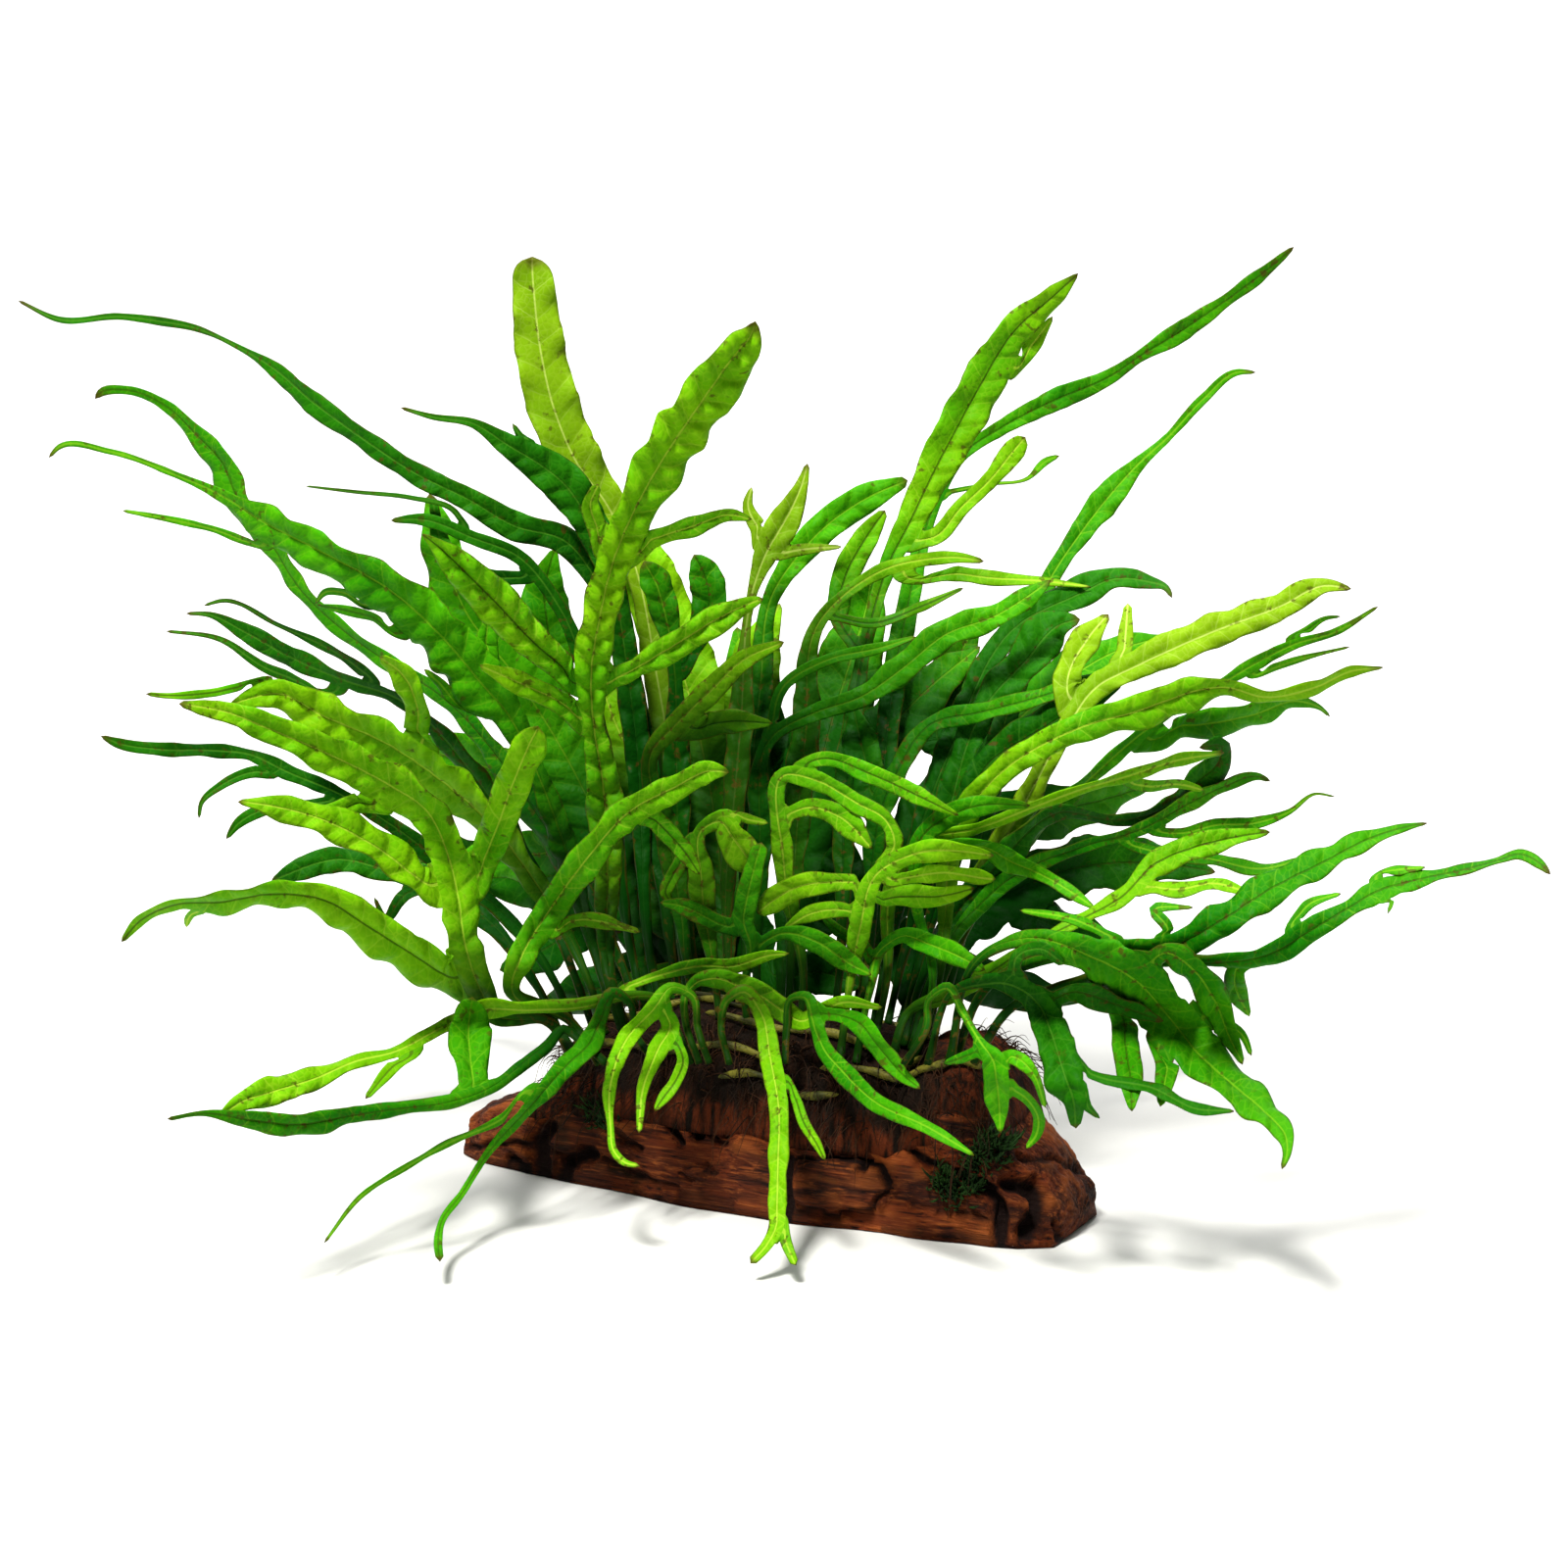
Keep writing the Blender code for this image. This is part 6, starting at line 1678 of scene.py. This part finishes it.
    def build(self) -> None:
        """Builds the wood's skin: rings along it, closed by smaller and smaller rings at the ends."""
        along = np.linspace(self.start, self.end, self.stations)
        angle = np.linspace(0, pi, self.arc_points)
        across, up = self.arch(along, angle)
        foot = np.linspace(1, -1, self.foot_points + 2)[1:-1]
        across = np.concatenate([across, foot * across[:, -1:]], axis=1)
        up = np.concatenate([up, np.zeros((self.stations, self.foot_points))], axis=1)
        shrink = np.sqrt(1 - np.linspace(0, 1, self.end_rings)[1:] ** 2).clip(0.01)
        bulge = np.linspace(0, 1, self.end_rings)[1:] ** 2 * self.end_bulge
        middle = np.array([0.0, self.end_centre])
        ends = []
        for row, sign in ((0, -1), (-1, 1)):
            centre = middle * np.array([1, up[row].max()])
            ring = np.stack([across[row], up[row]], axis=-1)
            rings = centre + (ring - centre) * shrink[:, None, None]
            depth = np.broadcast_to((along[row] + sign * bulge)[:, None], rings.shape[:2])
            ends.append(np.concatenate([depth[..., None], rings], axis=-1))
        body = np.stack([np.broadcast_to(along[:, None], across.shape), across, up], axis=-1)
        shape = np.concatenate([ends[0][::-1], body, ends[1]])
        points = self.place(shape[..., 0], shape[..., 1], shape[..., 2])
        numbers = np.arange(points[..., 0].size).reshape(points.shape[:2])
        faces = cell_corners(np.concatenate([numbers, numbers[:, :1]], axis=1))[:, ::-1]
        flat = points.reshape(-1, 3)
        normals = surface_normals(flat, faces).reshape(points.shape)
        grain = layered_noise(shape * np.array(self.grain_cells), 3, 21)
        ridges = layered_noise(shape * np.array(self.ridge_cells) + 7.3, 2, 25)
        lumps = layered_noise(shape * self.lump_cells + 3.1, 3, 29)
        facing = smoothstep((-normals[..., 1] + 0.35) / 0.4)
        depth, black = self.wear_and_painted_light(points, facing)
        plank = self.raised(points, facing)
        stand = self.grain_height * grain - self.ridge_depth * np.abs(ridges)
        stand = stand + self.lump_height * lumps + plank - depth
        free = smoothstep(shape[..., 2] / 0.004)
        points = points + normals * (stand * free)[..., None]
        points[..., 2] = points[..., 2].clip(0)
        points[..., 2][shape[..., 2] <= 0] = 0
        # Paler raised ridges, partly wear and partly a painted highlight; black painted shade in the cracks
        # and the deep grooves.
        ridge = smoothstep((grain * 0.5 + lumps * 0.6 - np.abs(ridges) + 0.25) / 0.7)
        dark = np.maximum(black, 0.7 * smoothstep((np.abs(ridges) - 0.42) / 0.2))
        wear_and_painted_light = np.stack([dark, ridge], axis=-1).reshape(-1, 2)[faces]
        hand_in(add_mesh("driftwood_skin", points.reshape(-1, 3), faces,
                         WoodFinish().build(self.effects), {"WearAndPaintedLight": wear_and_painted_light}), "driftwood")

    def raised(self, points: np.ndarray, facing: np.ndarray) -> np.ndarray:
        """A plank-like layer left standing, with a round right end, and a small oval knot.

        Each is height * smoothstep(1 - how far a point lies outside its rounded outline).

        Args:
            points: (..., 3) positions.
            facing: (...) 1 where the surface faces the viewer.

        Returns:
            (...) heights in metres.
        """
        sight = VIEW.sight(points)
        x, y = sight[..., 0], sight[..., 1]
        plank = np.hypot(np.maximum(np.maximum(840 - x, x - 880), 0) / 34, (y - 1209) / 27)
        knot = np.hypot((x - 710) / 15, (y - 1196) / 8)
        ridge = np.hypot((x - 985) / 62, (y - 1150 - 0.35 * (x - 985)) / 34)
        return facing * (0.0020 * smoothstep((1.12 - plank) / 0.35)
                         + 0.0012 * smoothstep((1.2 - knot) / 0.6)
                         + 0.0022 * smoothstep((1.2 - ridge) / 0.9))


@dataclass
class RootMat:
    """The creeping stem's mat of roots over the wood, its rods, its root hairs and the moss. A rod is
    a run of places on the mat, and a tuft is a place on the view and its spread."""

    effects: Effects
    wood: Driftwood
    half_length: float = 0.06014
    thickness: float = 0.015
    rim: float = 0.0012
    lump_cells: float = 210
    lump_height: float = 0.0016
    strand_cells: tuple = (420, 420, 130)
    rows: int = 170
    columns: int = 150
    hairs: int = 1300
    hair_steps: int = 7
    hair_reach: tuple = (0.003, 0.014)
    hair_radii: tuple = (0.00012, 0.00028)
    rod_radius: float = 0.0009
    rod_lift: tuple = (0, -0.0006, 0.0010)
    rods: tuple = (
        ((-0.75, -0.55), (-0.45, -0.72), (-0.10, -0.62), (0.15, -0.70)),
        ((0.25, -0.66), (0.55, -0.50), (0.80, -0.60), (0.92, -0.30)),
        ((-0.30, -0.30), (0.05, -0.40), (0.40, -0.25), (0.70, -0.35)),
        ((-0.60, 0.30), (-0.20, 0.45), (0.20, 0.35), (0.60, 0.50)),
        ((-0.15, -0.85), (0.05, -0.78), (0.22, -0.86), (0.40, -0.80)),
        ((-0.85, 0.00), (-0.60, -0.15), (-0.35, 0.05), (-0.10, -0.10)),
    )
    tufts: tuple = (
        (600, 1112, 14), (606, 1126, 16), (614, 1140, 12), (1004, 1164, 14), (1012, 1178, 18),
        (1020, 1168, 14), (996, 1186, 14), (960, 1206, 14), (978, 1216, 18), (992, 1206, 14),
        (940, 1080, 14), (952, 1062, 12),
    )
    tuft_leaves: int = 70
    leaf_radius: float = 0.00032
    leaf_reach: tuple = (0.0015, 0.0040)
    seed: int = 7

    def surface(self, p: np.ndarray, q: np.ndarray) -> np.ndarray:
        """Points of the mat's upper side: the wood's arch plus rim + thickness *
        sqrt((1 - p^2)(1 - q^2)).

        Args:
            p: (n) places along the mat, -1 to 1.
            q: (m) places across it, -1 to 1.

        Returns:
            (n, m, 3) positions.
        """
        across, up = self.wood.arch(p * self.half_length, pi * (0.5 + q / 3))
        swell = self.thickness * np.sqrt((1 - p[:, None] ** 2) * (1 - q[None, :] ** 2)) + self.rim
        along = np.broadcast_to((p * self.half_length)[:, None], across.shape)
        return self.wood.place(along, across, up + swell)

    def spots(self, p: np.ndarray, q: np.ndarray) -> np.ndarray:
        """(n, 3) points of the mat's upper side at n pairs of places."""
        return np.array([self.surface(p[k:k + 1], q[k:k + 1])[0, 0] for k in range(len(p))])

    def build_mat(self) -> None:
        """The mat: its lumpy upper side and a flat lower side just over the wood."""
        p = np.linspace(-1, 1, self.rows)
        q = np.linspace(-1, 1, self.columns)
        upper = self.surface(p, q)
        lumps = layered_noise(upper * self.lump_cells, 3, 51)
        strands = np.abs(layered_noise(upper * np.array(self.strand_cells), 2, 57))
        fade = np.sqrt((1 - p[:, None] ** 2) * (1 - q[None, :] ** 2))
        stand = fade * self.lump_height * (lumps - strands)
        lower = upper - np.array([0, 0, 1.0]) * (self.thickness * fade + self.rim * 1.4)[..., None]
        upper = upper + stand[..., None] * np.array([0, -0.5, 1])
        numbers = np.arange(upper[..., 0].size).reshape(upper.shape[:2])
        top = cell_corners(numbers)
        ring = np.concatenate([numbers[0], numbers[1:, -1], numbers[-1, -2::-1],
                               numbers[-2:0:-1, 0]])
        after = np.roll(ring, -1)
        wall = np.stack([after, ring, ring + numbers.size, after + numbers.size], axis=1)
        vertices = np.concatenate([upper.reshape(-1, 3), lower.reshape(-1, 3)])
        faces = np.concatenate([top, top[:, ::-1] + numbers.size, wall])
        corners = vertices[top]
        up = np.cross(corners[:, 2] - corners[:, 0], corners[:, 3] - corners[:, 1])[:, 2].sum()
        faces = faces if up > 0 else faces[:, ::-1]
        hand_in(add_mesh("root_mat", vertices, faces, MatFinish().build(self.effects)),
                "rhizome_and_roots")

    def add_tubes(self, name: str, paths: np.ndarray, radii: np.ndarray, sides: int,
                  finish: FibreFinish) -> None:
        """A piece of round strands, each ring square to its path.

        Args:
            name: The piece's name.
            paths: (strands, steps, 3) positions.
            radii: (strands, steps) radii.
            sides: How many sides a ring has.
            finish: The look of the strands.
        """
        ahead = unit(np.gradient(paths, axis=1))
        aside = unit(np.cross(ahead, np.array([0.31, 0.17, 0.93])))
        third = np.cross(ahead, aside)
        turn = np.linspace(0, 2 * pi, sides, endpoint=False)[:, None]
        rings = (paths[:, :, None] + radii[:, :, None, None]
                 * (aside[:, :, None] * np.cos(turn) + third[:, :, None] * np.sin(turn)))
        numbers = np.arange(rings[..., 0].size).reshape(rings.shape[:3])
        wrapped = np.concatenate([numbers, numbers[:, :, :1]], axis=2)
        quads = np.concatenate([cell_corners(strand) for strand in wrapped])
        hand_in(add_mesh(name, rings.reshape(-1, 3), quads, finish.build(self.effects)))

    def build_hairs(self) -> None:
        """Thin roots that leave the mat, bend down under their weight and wander."""
        rng = np.random.default_rng(self.seed)
        p = rng.uniform(-0.98, 0.98, self.hairs)
        q = rng.choice([-1, 1], self.hairs) * rng.uniform(0.1, 1.0, self.hairs) ** 0.7
        start = self.spots(p, q)
        outward = self.wood.place(0.5 * p, q, 0.55 * np.ones_like(p))
        outward = unit(outward + rng.normal(0, 0.45, outward.shape))
        reach = rng.uniform(*self.hair_reach, self.hairs)[:, None, None]
        t = np.linspace(0, 1, self.hair_steps)[None, :, None]
        drop = np.array([0, 0, -1.0]) * t**2 * reach * rng.uniform(0.5, 1.3, (self.hairs, 1, 1))
        paths = start[:, None] - outward[:, None] * MILLIMETRE + outward[:, None] * t * reach + drop
        waver = np.stack([value_noise(paths * 160 + shift, 61) for shift in (0, 31, 67)], axis=-1)
        paths = paths + waver * 0.0018 * t
        paths[..., 2] = paths[..., 2].clip(0.002)
        radii = rng.uniform(*self.hair_radii, self.hairs)[:, None] * (1 - 0.75 * t[..., 0])
        self.add_tubes("root_hairs", paths, radii, 3, FibreFinish(
            "root_hair", (0.036, 0.013, 0.004, 1), (0.008, 0.004, 0.002, 1), 120, 0.85, 0.0002))

    def build_rods(self) -> None:
        """The creeping stem's rods, which wind over the mat between the stalks."""
        t = np.linspace(0, 3, 28)
        paths, radii = [], []
        for index, rod in enumerate(self.rods):
            marks = np.array(rod)
            p, q = (np.interp(t, np.arange(4), marks[:, k]) for k in range(2))
            p, q = (np.convolve(np.pad(v, 3, mode="edge"), np.ones(7) / 7, "valid") for v in (p, q))
            points = self.spots(p, q)
            paths.append(points + np.array(self.rod_lift))
            knobs = 1 + 0.22 * np.sin(t * 7.0 + index) + 0.15 * value_noise(points * 500, 71)
            ends = np.sqrt(1 - (2 * t / 3 - 1) ** 8).clip(0.05)
            radii.append(self.rod_radius * knobs * ends)
        self.add_tubes("rhizome_rods", np.array(paths), np.array(radii), 12, FibreFinish(
            "creeping_stem", (0.120, 0.110, 0.012, 1), (0.022, 0.024, 0.004, 1), 190, 0.6, 0.0003))

    def build_moss(self) -> None:
        """Tufts of dark moss on the wood: small pointed leaves that spread from points on it."""
        rng = np.random.default_rng(self.seed + 1)
        skin = search_tree(bpy.data.objects["driftwood_skin"].data)
        eye = Vector(VIEW.eye)
        bases, normals = [], []
        for x, y, spread in np.repeat(self.tufts, self.tuft_leaves, axis=0):
            spot = np.array([x, y]) + rng.normal(0, spread * 0.45, 2)
            toward = Vector(VIEW.point(spot, np.float64(0.0))) - eye
            hit, normal, _, _ = skin.ray_cast(eye, toward.normalized())
            if hit is not None:
                bases.append(hit)
                normals.append(normal)
        bases, normals = np.array(bases), np.array(normals)
        grow = unit(normals + rng.normal(0, 0.55, normals.shape))[:, None]
        reach = rng.uniform(*self.leaf_reach, len(bases))[:, None, None]
        t = np.linspace(0, 1, 5)[None, :, None]
        paths = bases[:, None] + grow * t * reach + np.array([0, 0, 0.4]) * t**2 * reach
        thick = np.sin(pi * (0.15 + 0.85 * t[..., 0])) * np.ones((len(bases), 1))
        self.add_tubes("moss_tufts", paths, self.leaf_radius * thick + 0.00004, 3, FibreFinish(
            "moss", (0.020, 0.060, 0.010, 1), (0.006, 0.020, 0.004, 1), 220, 0.8, 0.0002))

    def build(self) -> None:
        """Builds the mat, its hairs, its rods and the moss on the wood."""
        self.build_mat()
        self.build_hairs()
        self.build_rods()
        self.build_moss()


@dataclass
class Studio:
    """A plain pale floor, soft lights and the camera at the photograph's angle."""

    floor_size: float = 8.0
    floor_back: float = 2.2
    wall_curve: float = 1.2
    wall_top: float = 4.0
    floor_colour: tuple = (0.62, 0.615, 0.60, 1)
    sky: float = 0.07

    def build(self) -> None:
        """Places the floor, the lights, the sky and the camera."""
        VIEW.add_camera()
        self.build_floor()
        self.add_light("key_light", (-0.40, -0.70, 1.50), size=0.30, power=52.0,
                       colour=(1.0, 0.99, 0.94))
        self.add_light("fill_light", (1.4, -1.1, 0.9), size=1.2, power=2.5,
                       colour=(0.97, 0.99, 1.0))
        self.add_light("back_light", (0.3, 0.9, 1.6), size=0.9, power=9.0,
                       colour=(1.0, 1.0, 0.97))
        self.add_light("wall_light", (0.0, 0.9, 2.6), size=2.4, power=160.0,
                       colour=(1.0, 1.0, 1.0), target=(0.0, 3.0, 1.0))
        world = bpy.data.worlds.new("soft_sky")
        world.use_nodes = True
        world.node_tree.nodes["Background"].inputs[0].default_value = (1, 1, 1, 1)
        world.node_tree.nodes["Background"].inputs[1].default_value = self.sky
        scene = bpy.context.scene
        scene.world = world
        scene.view_settings.view_transform = "Standard"

    def build_floor(self) -> None:
        """The floor, which curves up into a wall far behind: a quarter circle of radius wall_curve
        between a flat run and an upright one, with a faint grain."""
        turn = np.linspace(0, pi / 2, 24)
        y = np.concatenate([[-self.floor_size / 2], self.floor_back + self.wall_curve * np.sin(turn),
                            [self.floor_back + self.wall_curve]])
        z = np.concatenate([[0], self.wall_curve * (1 - np.cos(turn)), [self.wall_top]]) - 0.0003
        half = self.floor_size / 2
        corners = np.stack([np.stack([np.full_like(y, side), y, z], axis=1)
                            for side in (-half, half)], axis=1)
        numbers = np.arange(2 * len(y)).reshape(len(y), 2)
        made, graph = new_material("pale_floor")
        grain = graph.noise(graph.position(), 900, 2.0)
        low = tuple(0.97 * c for c in self.floor_colour[:3]) + (1,)
        shader = made.node_tree.nodes["Principled BSDF"]
        graph.feed(shader.inputs["Base Color"], graph.mix(grain, low, self.floor_colour))
        shader.inputs["Roughness"].default_value = 0.9
        floor = add_mesh("floor", corners.reshape(-1, 3), cell_corners(numbers), made)

    def add_light(self, name: str, place: tuple, size: float, power: float, colour: tuple,
                  target: tuple = (0, 0, VIEW.height)) -> None:
        """A square light.

        Args:
            name: Its name.
            place: Where it stands.
            size: Its side in metres.
            power: Its power in watts.
            colour: Its colour.
            target: The point that it faces: the object's middle, if not given.
        """
        data = bpy.data.lights.new(name, "AREA")
        data.size = size
        data.energy = power
        data.color = colour
        light = bpy.data.objects.new(name, data)
        light.location = place
        aim = Vector(target) - Vector(place)
        light.rotation_euler = aim.to_track_quat("-Z", "Y").to_euler()
        bpy.context.scene.collection.objects.link(light)


def main() -> None:
    """Builds the studio, the wood, the roots and moss, and the fronds."""
    logging.basicConfig(level=logging.INFO, format="%(message)s")
    Studio().build()
    effects = Effects(VeinPattern().build(), BlotchPattern().build())
    wood = Driftwood(effects)
    wood.build()
    RootMat(effects, wood).build()
    Plant(effects, search_tree(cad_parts["rhizome_and_roots"].data)).build()
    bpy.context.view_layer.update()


if __name__ == "__main__":
    main()
